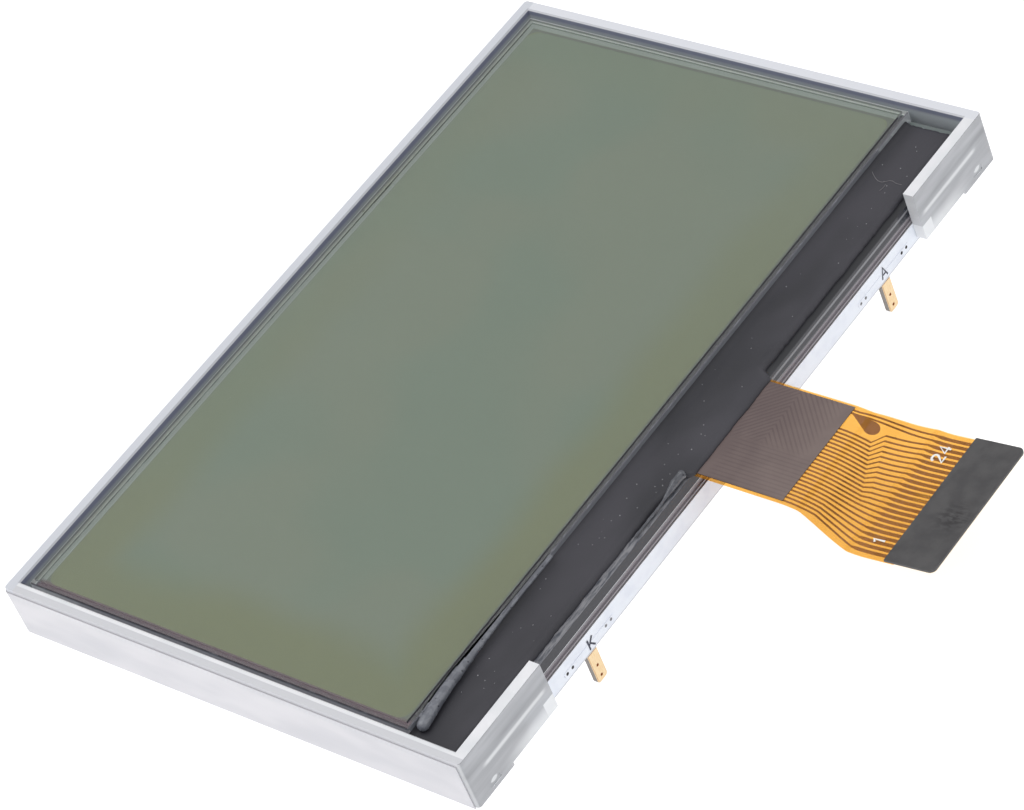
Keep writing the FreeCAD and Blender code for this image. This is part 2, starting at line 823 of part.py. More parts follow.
def build():
    """Every piece by its name."""
    mask = view_mask()
    shield = ribbon_shield()
    upper_rail, lower_rail = anode_track(), cathode_track()
    pieces = {
        "light_guide_tray": light_guide_tray(),
        "edge_tape": edge_tape(),
        "rear_reflector": rear_reflector(),
        "led_board": led_board(),
        "anode_tab_plating": tab_plating(anode_x),
        "cathode_tab_plating": tab_plating(cathode_x),
        "anode_track": upper_rail,
        "cathode_track": lower_rail,
        "anode_tab_link": link_plate(anode_x, [upper_rail, lower_rail]),
        "cathode_tab_link": link_plate(cathode_x, [upper_rail, lower_rail]),
        "led_solder": led_solder(),
        "led_tape": led_tape(),
        "diffuser_sheet": diffuser_sheet(),
        "frame_tape": frame_tape(),
        "lower_polariser": lower_polariser(),
        "lower_glass": lower_glass(),
        "cell_seal": cell_seal(),
        "view_mask": mask,
        "liquid_crystal": liquid_crystal(mask),
        "fill_port_plug": fill_port_plug(),
        "upper_glass": upper_glass(),
        "upper_polariser": upper_polariser(),
        "driver_chip": driver_chip(),
        "ledge_coating": ledge_coating(),
        "edge_bead": edge_bead(),
        "root_bead": root_bead(),
        "bonding_film": bonding_film(),
        "ribbon_base": ribbon_base(),
        "ribbon_shield": shield,
        "ribbon_cover": ribbon_cover(shield),
        "ribbon_back_film": ribbon_back_film(),
        "ribbon_traces": ribbon_traces(),
        "ribbon_stiffener": ribbon_stiffener(),
        "contact_fingers": contact_fingers(),
    }
    for i, x in enumerate(led_places(), start=1):
        pieces["led_%d_housing" % i] = led_housing(x)
        pieces["led_%d_phosphor" % i] = led_cavity(x)
    return pieces


os.makedirs("parts", exist_ok=True)
for name, shape in build().items():
    shape.exportStep("parts/%s.step" % name)
    print(name, len(shape.Solids), "solid(s)", round(shape.Volume, 3), "mm3", "valid" if shape.isValid() else "BAD")
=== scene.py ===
"""Looks of a small graphic liquid crystal display module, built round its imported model.

Sizes are millimetres in the part's own frame unless a name says otherwise. Meshes are made in
metres, with their place in their vertices.
"""

import logging
import math
from dataclasses import dataclass
from enum import Enum
from typing import Any, Callable, Dict, List, Optional, Sequence, Tuple

import bmesh
import bpy
from mathutils import Matrix, Vector, noise


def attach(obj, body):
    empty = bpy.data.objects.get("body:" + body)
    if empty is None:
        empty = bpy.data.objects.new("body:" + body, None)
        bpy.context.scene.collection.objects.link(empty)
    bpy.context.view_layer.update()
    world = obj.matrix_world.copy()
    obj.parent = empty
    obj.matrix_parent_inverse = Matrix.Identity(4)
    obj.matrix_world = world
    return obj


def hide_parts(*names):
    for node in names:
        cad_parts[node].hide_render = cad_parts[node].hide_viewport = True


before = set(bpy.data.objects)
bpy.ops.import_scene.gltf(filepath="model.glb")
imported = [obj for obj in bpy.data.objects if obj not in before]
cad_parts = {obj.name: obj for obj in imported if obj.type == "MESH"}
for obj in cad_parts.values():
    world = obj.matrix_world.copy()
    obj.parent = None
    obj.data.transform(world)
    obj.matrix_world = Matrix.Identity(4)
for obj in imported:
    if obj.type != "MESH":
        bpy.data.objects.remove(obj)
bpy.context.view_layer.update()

MM = 0.001
BODY = "root"
Colour = Tuple[float, float, float, float]
Point = Tuple[float, float, float]
Pair = Tuple[float, float]
# The viewing window's half length, and where its two long sides lie.
WINDOW_HALF = 32.6
WINDOW_Y = (-15.8, 20.8)
log = logging.getLogger("display_module")


def tone(red: int, green: int, blue: int) -> Colour:
    """A colour as it looks on a screen, from 0 to 255, as a shader wants it.

    Args:
        red: red share, 0 to 255.
        green: green share, 0 to 255.
        blue: blue share, 0 to 255.

    Returns:
        The linear colour with full opacity.
    """
    def linear(value: int) -> float:
        """One share of the colour, without the screen's curve."""
        share = value / 255
        return share / 12.92 if share <= 0.04045 else ((share + 0.055) / 1.055) ** 2.4
    return (linear(red), linear(green), linear(blue), 1.0)


# The LED strip's white ink, fresh and worn.
WHITE_INK = (tone(240, 245, 254), tone(232, 237, 248))


class NodeGraph:
    """One node tree, filled through a single method."""

    def __init__(self, tree: bpy.types.NodeTree) -> None:
        """Start from an empty tree."""
        self.tree = tree
        tree.nodes.clear()

    def node(self, kind: str, settings: Optional[Dict[str, Any]] = None,
             inputs: Optional[Dict[Any, Any]] = None) -> bpy.types.Node:
        """Add one node.

        Args:
            kind: the node's type.
            settings: properties that are set before the sockets.
            inputs: values or links by socket name or number.

        Returns:
            The new node.
        """
        made = self.tree.nodes.new(kind)
        for name, value in (settings or {}).items():
            setattr(made, name, value)
        for key, value in (inputs or {}).items():
            source = getattr(value, "socket", value)
            if isinstance(source, bpy.types.NodeSocket):
                self.tree.links.new(source, made.inputs[key])
            else:
                made.inputs[key].default_value = source
        return made


class Step(Enum):
    """What a Math node does with its numbers."""

    PLUS = "ADD"
    LESS = "SUBTRACT"
    TIMES = "MULTIPLY"
    OVER = "DIVIDE"
    SIZE = "ABSOLUTE"
    ROOT = "SQRT"
    LARGEST = "MAXIMUM"
    SMALLEST = "MINIMUM"
    FOLD = "PINGPONG"
    BEYOND = "GREATER_THAN"


def takes(step: Step, turned: bool = False) -> Callable[..., "Amount"]:
    """A method that takes one step of arithmetic on a number and another one.

    Args:
        step: the arithmetic.
        turned: whether the other number comes first.

    Returns:
        The method, for the class of numbers below.
    """
    def take(self: "Amount", other: Any = 0.0) -> "Amount":
        """One Math node on the two numbers."""
        return self.math(step, *((other, self) if turned else (self, other)))
    return take


class Amount:
    """A number that varies over a surface. Arithmetic on it adds Math nodes."""

    def __init__(self, graph: NodeGraph, socket: bpy.types.NodeSocket) -> None:
        """Wrap one output socket."""
        self.graph = graph
        self.socket = socket

    def math(self, step: Step, *values: Any) -> "Amount":
        """Add one Math node on the given values."""
        numbers = dict(enumerate(values))
        made = self.graph.node("ShaderNodeMath", {"operation": step.value}, numbers)
        return Amount(self.graph, made.outputs[0])

    __add__ = __radd__ = takes(Step.PLUS)
    __mul__ = __rmul__ = takes(Step.TIMES)
    __sub__, __rsub__ = takes(Step.LESS), takes(Step.LESS, turned=True)
    __truediv__ = takes(Step.OVER)
    absolute, root = takes(Step.SIZE), takes(Step.ROOT)
    largest, smallest = takes(Step.LARGEST), takes(Step.SMALLEST)
    fold, beyond = takes(Step.FOLD), takes(Step.BEYOND)

    def rise(self, low: float, high: float) -> "Amount":
        """A smooth step over a range of this number.

        Args:
            low: where the step is 0.
            high: where it is 1. Below low, the step falls instead.

        Returns:
            The step, from 0 to 1.
        """
        made = self.graph.node("ShaderNodeMapRange", {"interpolation_type": "SMOOTHSTEP"},
                               {"Value": self, "From Min": low, "From Max": high})
        return Amount(self.graph, made.outputs["Result"])

    def band(self, low: float, high: float, soft: float) -> "Amount":
        """1 between two values and 0 outside them, with soft edges."""
        return self.rise(low - soft, low + soft) * self.rise(high + soft, high - soft)

    def stripes(self, pitch: float, width: float, soft: float) -> "Amount":
        """1 on stripes of one width that repeat at a pitch, and 0 between them."""
        return self.fold(pitch / 2).rise(width / 2 + soft, width / 2 - soft)


def distance(across: Amount, along: Amount) -> Amount:
    """How far off a point is, from its two offsets."""
    return (across * across + along * along).root()


class Shading(NodeGraph):
    """The nodes of one material, in the part's own millimetres."""

    def __init__(self, name: str) -> None:
        """Make the material and its coordinates."""
        self.material = bpy.data.materials.new(name)
        self.material.use_nodes = True
        super().__init__(self.material.node_tree)
        metres = self.node("ShaderNodeTexCoord").outputs["Object"]
        self.point = self.node("ShaderNodeVectorMath", {"operation": "SCALE"},
                               {0: metres, "Scale": 1 / MM}).outputs[0]

    def axes(self, vector: bpy.types.NodeSocket) -> Tuple[Amount, Amount, Amount]:
        """The three parts of a vector."""
        parts = self.node("ShaderNodeSeparateXYZ", None, {0: vector})
        return tuple(Amount(self, parts.outputs[i]) for i in range(3))

    def place(self) -> Tuple[Amount, Amount, Amount]:
        """X, Y and Z of the point on the surface."""
        return self.axes(self.point)

    def past(self, corner: Pair) -> Amount:
        """1 towards the far sides, past the corner's X or past its Y, and 0 short of both."""
        x, y, _ = self.place()
        return (x - corner[0]).largest(y - corner[1]).rise(0.0, 0.02)

    def facing(self) -> Tuple[Amount, Amount, Amount]:
        """The three parts of the surface's outward direction."""
        return self.axes(self.node("ShaderNodeNewGeometry").outputs["True Normal"])

    def noise(self, size: float, detail: float = 2.0, roughness: float = 0.5,
              stretch: Point = (1, 1, 1), shift: float = 0.0) -> Amount:
        """Smooth noise from about 0 to 1.

        Args:
            size: the size of its blobs.
            detail: how many finer layers it has.
            roughness: how strong the finer layers are.
            stretch: by how much it is drawn out along each axis.
            shift: moves the pattern, so that two finishes differ.

        Returns:
            The noise as a number over the surface.
        """
        scale = tuple(1 / (size * s) for s in stretch)
        moved = self.node("ShaderNodeMapping", None, {
            "Vector": self.point, "Location": (shift, shift, shift), "Scale": scale})
        made = self.node("ShaderNodeTexNoise", None, {
            "Vector": moved.outputs[0], "Scale": 1.0, "Detail": detail, "Roughness": roughness})
        return Amount(self, made.outputs[0])

    def specks(self, spacing: float, size: float, share: float, shift: float = 0.0) -> Amount:
        """Scattered round specks.

        Args:
            spacing: the usual distance from one speck to the next.
            size: the radius of a speck.
            share: the share of the places that hold a speck.
            shift: moves the pattern, so that two finishes differ.

        Returns:
            1 on a speck and 0 elsewhere.
        """
        moved = self.node("ShaderNodeMapping", None,
                          {"Vector": self.point, "Location": (shift, shift, shift)})
        cells = self.node("ShaderNodeTexVoronoi", None,
                          {"Vector": moved.outputs[0], "Scale": 1 / spacing})
        near = Amount(self, cells.outputs["Distance"]).rise(size / spacing, 0.5 * size / spacing)
        chosen = self.axes(cells.outputs["Color"])[0].rise(share + 0.01, share - 0.01)
        return near * chosen

    def mix(self, factor: Any, first: Any, second: Any) -> bpy.types.NodeSocket:
        """A colour between two colours."""
        made = self.node("ShaderNodeMix", {"data_type": "RGBA"}, {0: factor, 6: first, 7: second})
        return made.outputs[2]

    def bump(self, height: Any, depth: float, normal: Any = None) -> bpy.types.NodeSocket:
        """A surface direction with relief.

        Args:
            height: the relief, from 0 to 1.
            depth: what a height of 1 stands for.
            normal: the direction that it starts from, where that has relief of its own.

        Returns:
            The direction as a socket.
        """
        inputs = {"Height": height, "Distance": depth * MM, "Strength": 1.0}
        if normal is not None:
            inputs["Normal"] = normal
        return self.node("ShaderNodeBump", None, inputs).outputs[0]

    def principled(self, **inputs: Any) -> bpy.types.NodeSocket:
        """The usual shader. Words in a socket's name are joined by underscores here."""
        named = {key.replace("_", " "): value for key, value in inputs.items()}
        return self.node("ShaderNodeBsdfPrincipled", None, named).outputs[0]

    def blend(self, factor: Any, first: Any, second: Any) -> bpy.types.NodeSocket:
        """A surface between two surfaces."""
        return self.node("ShaderNodeMixShader", None, {0: factor, 1: first, 2: second}).outputs[0]

    def window(self, colour: Any) -> bpy.types.NodeSocket:
        """A surface that only tints what is behind it."""
        return self.node("ShaderNodeBsdfTransparent", None, {0: colour}).outputs[0]

    def lets_lamps_in(self, surface: bpy.types.NodeSocket,
                      colour: Colour) -> bpy.types.NodeSocket:
        """The same surface, which lamps shine through in this colour."""
        shadow = self.node("ShaderNodeLightPath").outputs["Is Shadow Ray"]
        return self.blend(shadow, surface, self.window(colour))


class Recipe(NodeGraph):
    """A geometry tree with named sizes in millimetres, whose result becomes a plain mesh."""

    def __init__(self, name: str, **sizes: Any) -> None:
        """Make the tree with one input for each size."""
        super().__init__(bpy.data.node_groups.new(name, "GeometryNodeTree"))
        self.name, self.sizes = name, sizes
        kinds = {int: "Int", float: "Float", tuple: "Vector"}
        sockets = self.tree.interface
        sockets.new_socket("Base", in_out="INPUT", socket_type="NodeSocketGeometry")
        sockets.new_socket("Made", in_out="OUTPUT", socket_type="NodeSocketGeometry")
        for key, value in sizes.items():
            sockets.new_socket(key, in_out="INPUT", socket_type="NodeSocket" + kinds[type(value)])
        self.given = self.node("NodeGroupInput").outputs

    def size(self, key: str) -> Amount:
        """One of the named sizes, as a number to reckon with."""
        return Amount(self, self.given[key])

    def mesh(self, result: Any, finish: "Finish", base: Any = None) -> bpy.types.Mesh:
        """Run the tree once.

        Args:
            result: the geometry socket that holds the shape.
            finish: what the shape is made of.
            base: the curve or mesh that the tree starts from, if it needs one.

        Returns:
            The mesh, in metres and in place.
        """
        whole = self.node("GeometryNodeRealizeInstances", None, {0: result})
        smooth = self.node("GeometryNodeSetShadeSmooth", None, {0: whole.outputs[0]})
        made = self.node("GeometryNodeSetMaterial", None,
                         {"Geometry": smooth.outputs[0], "Material": finish.material()})
        self.node("NodeGroupOutput", None, {0: made.outputs[0]})
        holder = bpy.data.objects.new(self.name, base or bpy.data.meshes.new(self.name))
        bpy.context.scene.collection.objects.link(holder)
        modifier = holder.modifiers.new(self.name, "NODES")
        modifier.node_group = self.tree
        for item in self.tree.interface.items_tree:
            if item.name in self.sizes:
                modifier[item.identifier] = self.sizes[item.name]
        seen = holder.evaluated_get(bpy.context.evaluated_depsgraph_get())
        mesh = bpy.data.meshes.new_from_object(seen)
        bpy.data.objects.remove(holder)
        mesh.name = self.name
        mesh.transform(Matrix.Scale(MM, 4))
        return mesh


@dataclass(frozen=True)
class Finish:
    """A finish with a name. Each kind paints its own surface."""

    name: str

    def surface(self, s: Shading) -> bpy.types.NodeSocket:
        """Lay out the finish.

        Args:
            s: the nodes of the finish's material.

        Returns:
            The finished surface, as a shader socket.
        """
        raise NotImplementedError

    def material(self) -> bpy.types.Material:
        """The finish as a material, which is made once."""
        found = bpy.data.materials.get(self.name)
        if found is None:
            shading = Shading(self.name)
            shading.node("ShaderNodeOutputMaterial", None, {"Surface": self.surface(shading)})
            found = shading.material
        return found


@dataclass(frozen=True)
class Mottled(Finish):
    """A plain moulded, cut or plated surface with a fine grain."""

    light: Colour = (1.0, 1.0, 1.0, 1.0)
    dark: Colour = (0.8, 0.8, 0.8, 1.0)
    grain: float = 0.4
    roughness: float = 0.45
    spread: float = 0.1
    metal: float = 0.0
    relief: float = 0.004

    def surface(self, s: Shading) -> bpy.types.NodeSocket:
        """Two close tones mixed by noise, with the same noise in the gloss and the relief.

        Args:
            s: the nodes of the finish's material.

        Returns:
            The finished surface, as a shader socket.
        """
        coarse = s.noise(self.grain * 6, 3.0)
        fine = s.noise(self.grain, 2.0, shift=7.0)
        return s.principled(
            Base_Color=s.mix(coarse.rise(0.3, 0.7), self.light, self.dark),
            Roughness=self.roughness + (fine - 0.5) * self.spread, Metallic=self.metal,
            Normal=s.bump(fine, self.relief))


@dataclass(frozen=True)
class FrostedAcrylic(Finish):
    """Clear moulded acrylic, milky on its sawn rim and streaked on its polished sides."""

    clear: Colour = tone(250, 252, 252)
    milk: Colour = tone(250, 250, 254)
    side: Colour = tone(236, 239, 243)
    outer_band: Colour = tone(220, 221, 226)
    # Painted shade: the far end and the far side of the rim top are darker and bluer.
    far_end: Colour = tone(237, 239, 246)
    far_side: Colour = tone(222, 225, 233)
    # Painted light on the clear pocket walls: dark blue shade at the top, a pale slate reflection
    # below.
    wall_shade_navy: Colour = tone(142, 147, 170)
    slate: Colour = tone(196, 203, 208)
    # Painted see-through shade on the clear corner returns: grey, darker in a band at mid height.
    see_through_grey: Colour = tone(192, 194, 199)
    see_through_dark: Colour = tone(160, 162, 167)
    # Painted light on the corner returns: a glint line, the lit lower part and the end faces. An
    # oval tool mark takes the same tone.
    pale: Colour = tone(246, 248, 251)
    rim_height: float = 4.9
    tape_top: float = 4.6
    band_x: float = -34.35
    inside: Pair = (34.0, 22.0)
    outside: Pair = (34.9, 22.9)
    # Where the painted glint line runs inside each return.
    glint_line_x: Pair = (25.6, 32.9)
    glint_line_z: Pair = (2.58, 2.92)
    low_x: Pair = (32.0, 28.0)
    low_z: Pair = (1.9, 0.7)
    block: Pair = (26.2, 1.8)
    mark: Pair = (32.64, 0.95)
    mark_size: Pair = (0.48, 0.3)
    # Where the painted see-through shade is darkest on the returns.
    dark_band_z: Pair = (3.1, 3.7)
    # Where the painted shade on the pocket walls sets in.
    wall_shade_z: Pair = (4.2, 4.6)

    def return_tone(self, s: Shading, drawn: Amount) -> bpy.types.NodeSocket:
        """The corner returns' painted see-through shade in grey, with painted light and a pale
        oval tool mark in it.

        Args:
            s: the nodes of the finish's material.
            drawn: the streaks along the moulding.

        Returns:
            The colour as a socket.
        """
        x, _, z = s.place()
        side = x.absolute()
        # Painted highlight: a glint line inside the block, along each return.
        line = z.band(*self.glint_line_z, 0.13) * side.band(*self.glint_line_x, 0.4)
        # Painted light: the lower part and the low inner end, where light shows through the clear
        # block.
        low = z.rise(*self.low_z) * side.rise(*self.low_x)
        block_x, block_z = self.block
        block = side.rise(block_x + 0.05, block_x - 0.05) * z.rise(
            block_z + 0.05, block_z - 0.05)
        # A pale oval tool mark.
        off_x, off_z = side - self.mark[0], z - self.mark[1]
        oval = (off_x * off_x + off_z * off_z * 2.5).root().rise(*self.mark_size)
        pale = (low * 0.8).largest(block).largest(line * 0.75).largest(oval * 0.85)
        # Painted light: the faces that look along X are paler.
        pale = pale.largest(s.facing()[0].absolute().rise(0.5, 0.8) * 0.5)
        # Darker on the moulding's streaks, and darker in a band at mid height as painted
        # see-through shade.
        dark = drawn.rise(0.3, 0.7) * 0.4 + z.band(*self.dark_band_z, 0.4) * 0.6
        return s.mix(pale, s.mix(dark, self.see_through_grey, self.see_through_dark), self.pale)

    def rim_tone(self, s: Shading, haze: Amount) -> bpy.types.NodeSocket:
        """The tone of the rim's sawn top: darker along the outside of the -X end, and darker and
        bluer on the far end and the far side as painted shade.

        Args:
            s: the nodes of the finish's material.
            haze: broad clouds in the milk.

        Returns:
            The colour as a socket.
        """
        x, y, _ = s.place()
        half_x, half_y = self.inside
        top = s.mix(haze.rise(0.3, 0.8), self.milk, self.side)
        top = s.mix(x.rise(self.band_x + 0.03, self.band_x - 0.03), top, self.outer_band)
        # Painted shade: the far end and the far side are darker and bluer.
        top = s.mix(x.rise(half_x - 0.1, half_x), top, self.far_end)
        return s.mix(y.rise(half_y - 0.1, half_y), top, self.far_side)

    def surface(self, s: Shading) -> bpy.types.NodeSocket:
        """Glass-like body with a share of milk, high on the rim and on the corner returns.

        Args:
            s: the nodes of the finish's material.

        Returns:
            The finished surface, as a shader socket.
        """
        x, y, z = s.place()
        up = s.facing()[2]
        streak = s.noise(0.5, 2.0, 0.6, stretch=(1.0, 1.0, 0.3), shift=3.0)
        drawn = s.noise(0.5, 1.0, stretch=(9.0, 9.0, 1.0), shift=11.0)
        haze = s.noise(2.5, 1.0, shift=20.0)
        upright = up.absolute().rise(0.6, 0.3)
        half_x, half_y = self.inside
        pocket = x.absolute().rise(half_x + 0.1, half_x) * y.absolute().rise(
            half_y + 0.1, half_y) * upright
        beyond = (x.absolute() - self.outside[0]).largest(y - self.outside[1])
        lip = beyond.rise(-0.06, -0.02) * z.rise(self.tape_top - 0.05, self.tape_top)
        rim = (up.rise(0.4, 0.8) * z.rise(self.rim_height - 0.1, self.rim_height)).largest(lip)
        returns = y.rise(-half_y - 0.02, -half_y - 0.1) * upright
        # Painted light on the pocket walls: dark blue painted shade at the top, fading to a
        # painted slate reflection below.
        wall = s.mix(z.rise(*self.wall_shade_z), self.slate, self.wall_shade_navy)
        inner = s.mix(pocket, self.return_tone(s, drawn), wall)
        paint = s.mix(rim, inner, self.rim_tone(s, haze))
        relief = s.bump(streak, 0.003)
        body = s.principled(Base_Color=s.mix(drawn, self.clear, self.side),
                            Roughness=0.08 + streak * 0.1, IOR=1.49, Transmission_Weight=1.0,
                            Normal=relief)
        milk = s.principled(Base_Color=paint, Roughness=0.3 + streak * 0.15, Normal=relief)
        share = (rim * 0.93).largest(pocket * 0.78).largest(returns * 0.86)
        return s.lets_lamps_in(s.blend(share.largest(0.3 + haze * 0.1), body, milk), self.clear)


@dataclass(frozen=True)
class EdgeFilm(Finish):
    """Glossy white film with darker cut edges, partly painted shade, which follows the tray with
    slight waves.
    """

    face: Colour = tone(227, 226, 231)
    waves: Colour = tone(213, 213, 219)
    # The tone of the cut top and ends: on the white film, partly painted shade.
    cut: Colour = tone(184, 183, 188)

    def surface(self, s: Shading) -> bpy.types.NodeSocket:
        """White face, grey waves along it, and a darker top and two ends, partly the cut edge and
        partly painted shade.

        Args:
            s: the nodes of the finish's material.

        Returns:
            The finished surface, as a shader socket.
        """
        _, along, up = s.facing()
        wave = s.noise(5.0, 2.0, 0.5, stretch=(1.6, 1.6, 0.5))
        fine = s.noise(0.12, 2.0, shift=5.0)
        # The cut top and ends: on the white film a dark line, partly the cut edge and partly
        # painted shade.
        cut = up.rise(0.5, 0.7).largest(along.rise(-0.5, -0.9))
        base = s.mix(wave.rise(0.3, 0.7), self.face, self.waves)
        return s.principled(
            Base_Color=s.mix(cut, base, self.cut), Roughness=0.34 + fine * 0.08,
            Normal=s.bump(wave, 0.05, s.bump(fine, 0.001)))


@dataclass(frozen=True)
class Laminate(Finish):
    """White-coated glass fibre strip, with bare fibre on its sawn edges."""

    white: Tuple[Colour, Colour] = WHITE_INK
    fibre: Colour = tone(232, 228, 232)
    fibre_dark: Colour = tone(198, 192, 196)
    tab_face: Colour = tone(250, 224, 180)
    tab_side: Colour = tone(120, 114, 106)
    # Painted contact shade along the strip's lower edge.
    low_edge_shade: Colour = tone(206, 209, 214)
    tab_z: Pair = (-0.02, -0.1)
    low_z: Pair = (0.14, 0.06)

    def surface(self, s: Shading) -> bpy.types.NodeSocket:
        """White on the two faces, plated on the tabs and layered fibre on every other side.

        Args:
            s: the nodes of the finish's material.

        Returns:
            The finished surface, as a shader socket.
        """
        z = s.place()[2]
        flat = s.facing()[1].absolute().rise(0.5, 0.8)
        soft = s.noise(1.5, 2.0, shift=2.0)
        layers = s.noise(0.07, 2.0, 0.5, stretch=(12.0, 1.0, 4.0), shift=9.0)
        edge = s.mix(layers.rise(0.35, 0.65), self.fibre, self.fibre_dark)
        edge = s.mix(z.rise(*self.tab_z) * 0.9, edge, self.tab_side)
        coat = s.mix(soft.rise(0.4, 0.7), *self.white)
        # Painted contact shade: a grey line along the strip's lower edge.
        coat = s.mix(z.rise(*self.low_z), coat, self.low_edge_shade)
        coat = s.mix(z.rise(*self.tab_z), coat, self.tab_face)
        return s.principled(
            Base_Color=s.mix(flat, edge, coat), Roughness=0.42 + soft * 0.1,
            Normal=s.bump(layers * (1 - flat), 0.01))


@dataclass(frozen=True)
class MaskedLink(Finish):
    """White ink over a copper link, with dark bores."""

    white: Tuple[Colour, Colour] = WHITE_INK
    bore: Colour = tone(88, 84, 84)
    bore_pale: Colour = tone(206, 206, 210)
    inner_x: float = 20.0
    bore_z: float = 0.62
    bore_reach: float = 0.1

    def surface(self, s: Shading) -> bpy.types.NodeSocket:
        """White, apart from the walls of the bores.

        Args:
            s: the nodes of the finish's material.

        Returns:
            The finished surface, as a shader socket.
        """
        x, _, z = s.place()
        soft = s.noise(1.5, 2.0, shift=2.0)
        hole = z.band(self.bore_z - self.bore_reach, self.bore_z + self.bore_reach, 0.01)
        hole = hole * s.facing()[1].absolute().rise(0.6, 0.4)
        coat = s.mix(soft.rise(0.4, 0.7), *self.white)
        bore = s.mix(x.absolute().rise(self.inner_x - 1, self.inner_x + 1), self.bore_pale,
                     self.bore)
        return s.principled(Base_Color=s.mix(hole, coat, bore), Roughness=0.42 + soft * 0.1,
                            Normal=s.bump(soft, 0.002))


@dataclass(frozen=True)
class PlatedTab(Finish):
    """Satin gold plating, darker inside its plated holes."""

    bright: Colour = tone(247, 222, 180)
    warm: Colour = tone(241, 209, 159)
    bore: Colour = tone(206, 142, 86)

    def surface(self, s: Shading) -> bpy.types.NodeSocket:
        """Soft gold with faint scratches.

        Args:
            s: the nodes of the finish's material.

        Returns:
            The finished surface, as a shader socket.
        """
        along = s.facing()[1].absolute()
        scratch = s.noise(0.06, 3.0, 0.6, stretch=(1.0, 1.0, 9.0))
        base = s.mix(scratch.rise(0.4, 0.65), self.bright, self.warm)
        return s.principled(
            Base_Color=s.mix(along.rise(0.4, 0.8), self.bore, base), Metallic=0.45,
            Roughness=0.34 + scratch * 0.12, Normal=s.bump(scratch, 0.002))


@dataclass(frozen=True)
class ViewFilm(Finish):
    """Satin polarising film: a grey tint with a faint haze on it."""

    tint: Colour = tone(249, 250, 247)
    haze: Colour = tone(150, 156, 152)
    # Painted light and shade on the cut edges: a tone for each side.
    edge: Colour = tone(84, 82, 90)
    edge_plum: Colour = tone(158, 140, 148)
    edge_far: Colour = tone(160, 164, 166)
    edge_x: float = -33.1
    far: Pair = (32.5, 20.5)
    share: float = 0.04

    def surface(self, s: Shading) -> bpy.types.NodeSocket:
        """See-through, with a fine matt grain, and cut edges in painted light and shade: dark,
        plum towards -X, pale on the far sides.

        Args:
            s: the nodes of the finish's material.

        Returns:
            The finished surface, as a shader socket.
        """
        up = s.facing()[2].absolute().rise(0.6, 0.9)
        grain = s.noise(0.06, 1.0, shift=4.0)
        x = s.place()[0]
        # Painted light and shade by side on the cut edges: dark, plum towards -X, pale on the far
        # sides.
        edge = s.mix(x.rise(self.edge_x + 0.02, self.edge_x - 0.02), self.edge, self.edge_plum)
        edge = s.mix(s.past(self.far), edge, self.edge_far)
        body = s.principled(Base_Color=s.mix(up, edge, self.haze),
                            Roughness=0.4 + grain * 0.1)
        film = s.blend(1 - up * (1 - self.share), s.window(self.tint), body)
        return s.lets_lamps_in(film, self.tint)


@dataclass(frozen=True)
class CrystalLayer(Finish):
    """The crystal layer and its reflector: grey-green, olive towards the near sides."""

    green: Colour = tone(137, 147, 138)
    grey: Colour = tone(143, 148, 138)
    olive: Colour = tone(140, 141, 114)
    fade: Pair = (-5.0, -0.5)

    def surface(self, s: Shading) -> bpy.types.NodeSocket:
        """Clouded tones, with olive along the sides that the olive of the window shows.

        Args:
            s: the nodes of the finish's material.

        Returns:
            The finished surface, as a shader socket.
        """
        x, y, _ = s.place()
        cloud = s.noise(12.0, 1.0, 0.4)
        sides = (x.absolute() - WINDOW_HALF).largest(
            (WINDOW_Y[0] - y).largest(y - WINDOW_Y[1]))
        near = (x * -0.7 + y * -0.7 + cloud * 8).rise(-20.0, 26.0)
        olive = (sides + cloud * 3).rise(*self.fade) * (near * 0.85 + 0.15)
        fine = s.noise(0.3, 1.0, shift=6.0)
        centre = s.mix(cloud.rise(0.4, 0.62), self.green, self.grey)
        return s.principled(Base_Color=s.mix(olive, centre, self.olive),
                            Roughness=0.5 + fine * 0.1)


@dataclass(frozen=True)
class FrameInk(Finish):
    """The dark frame of the window in painted light by side: plum on the cathode side, dusky on
    the ledge's side.
    """

    # Painted light by side on one print: plum, dusky, and a paler slate on the far sides.
    plum: Colour = tone(126, 102, 114)
    dusk: Colour = tone(92, 88, 94)
    slate: Colour = tone(122, 123, 121)
    window: Colour = tone(140, 142, 118)
    side_x: float = -32.3
    dusk_y: float = -15.9
    corner: float = 0.95
    opens: bool = True

    def surface(self, s: Shading) -> bpy.types.NodeSocket:
        """Three tones of painted light by side that blend into each other, and where it opens,
        the window's tone inside.

        Args:
            s: the nodes of the finish's material.

        Returns:
            The finished surface, as a shader socket.
        """
        x, y, _ = s.place()
        soft = s.noise(1.0, 2.0)
        # Painted light by side: dusky towards -Y, plum towards -X, slate elsewhere.
        ink = s.mix((y + soft * 0.2).rise(self.dusk_y + 0.1, self.dusk_y - 0.15), self.slate,
                    self.dusk)
        ink = s.mix((x + soft * 0.2).rise(self.side_x + 0.1, self.side_x - 0.3), ink, self.plum)
        if self.opens:
            middle = (WINDOW_Y[0] + WINDOW_Y[1]) / 2
            over_x = (x.absolute() - (WINDOW_HALF - self.corner)).largest(0.0)
            over_y = ((y - middle).absolute() - (WINDOW_Y[1] - middle - self.corner)).largest(0.0)
            inked = distance(over_x, over_y).rise(self.corner - 0.03, self.corner + 0.01)
            ink = s.mix(inked, self.window, ink)
        return s.principled(Base_Color=ink, Roughness=0.4 + soft * 0.1)


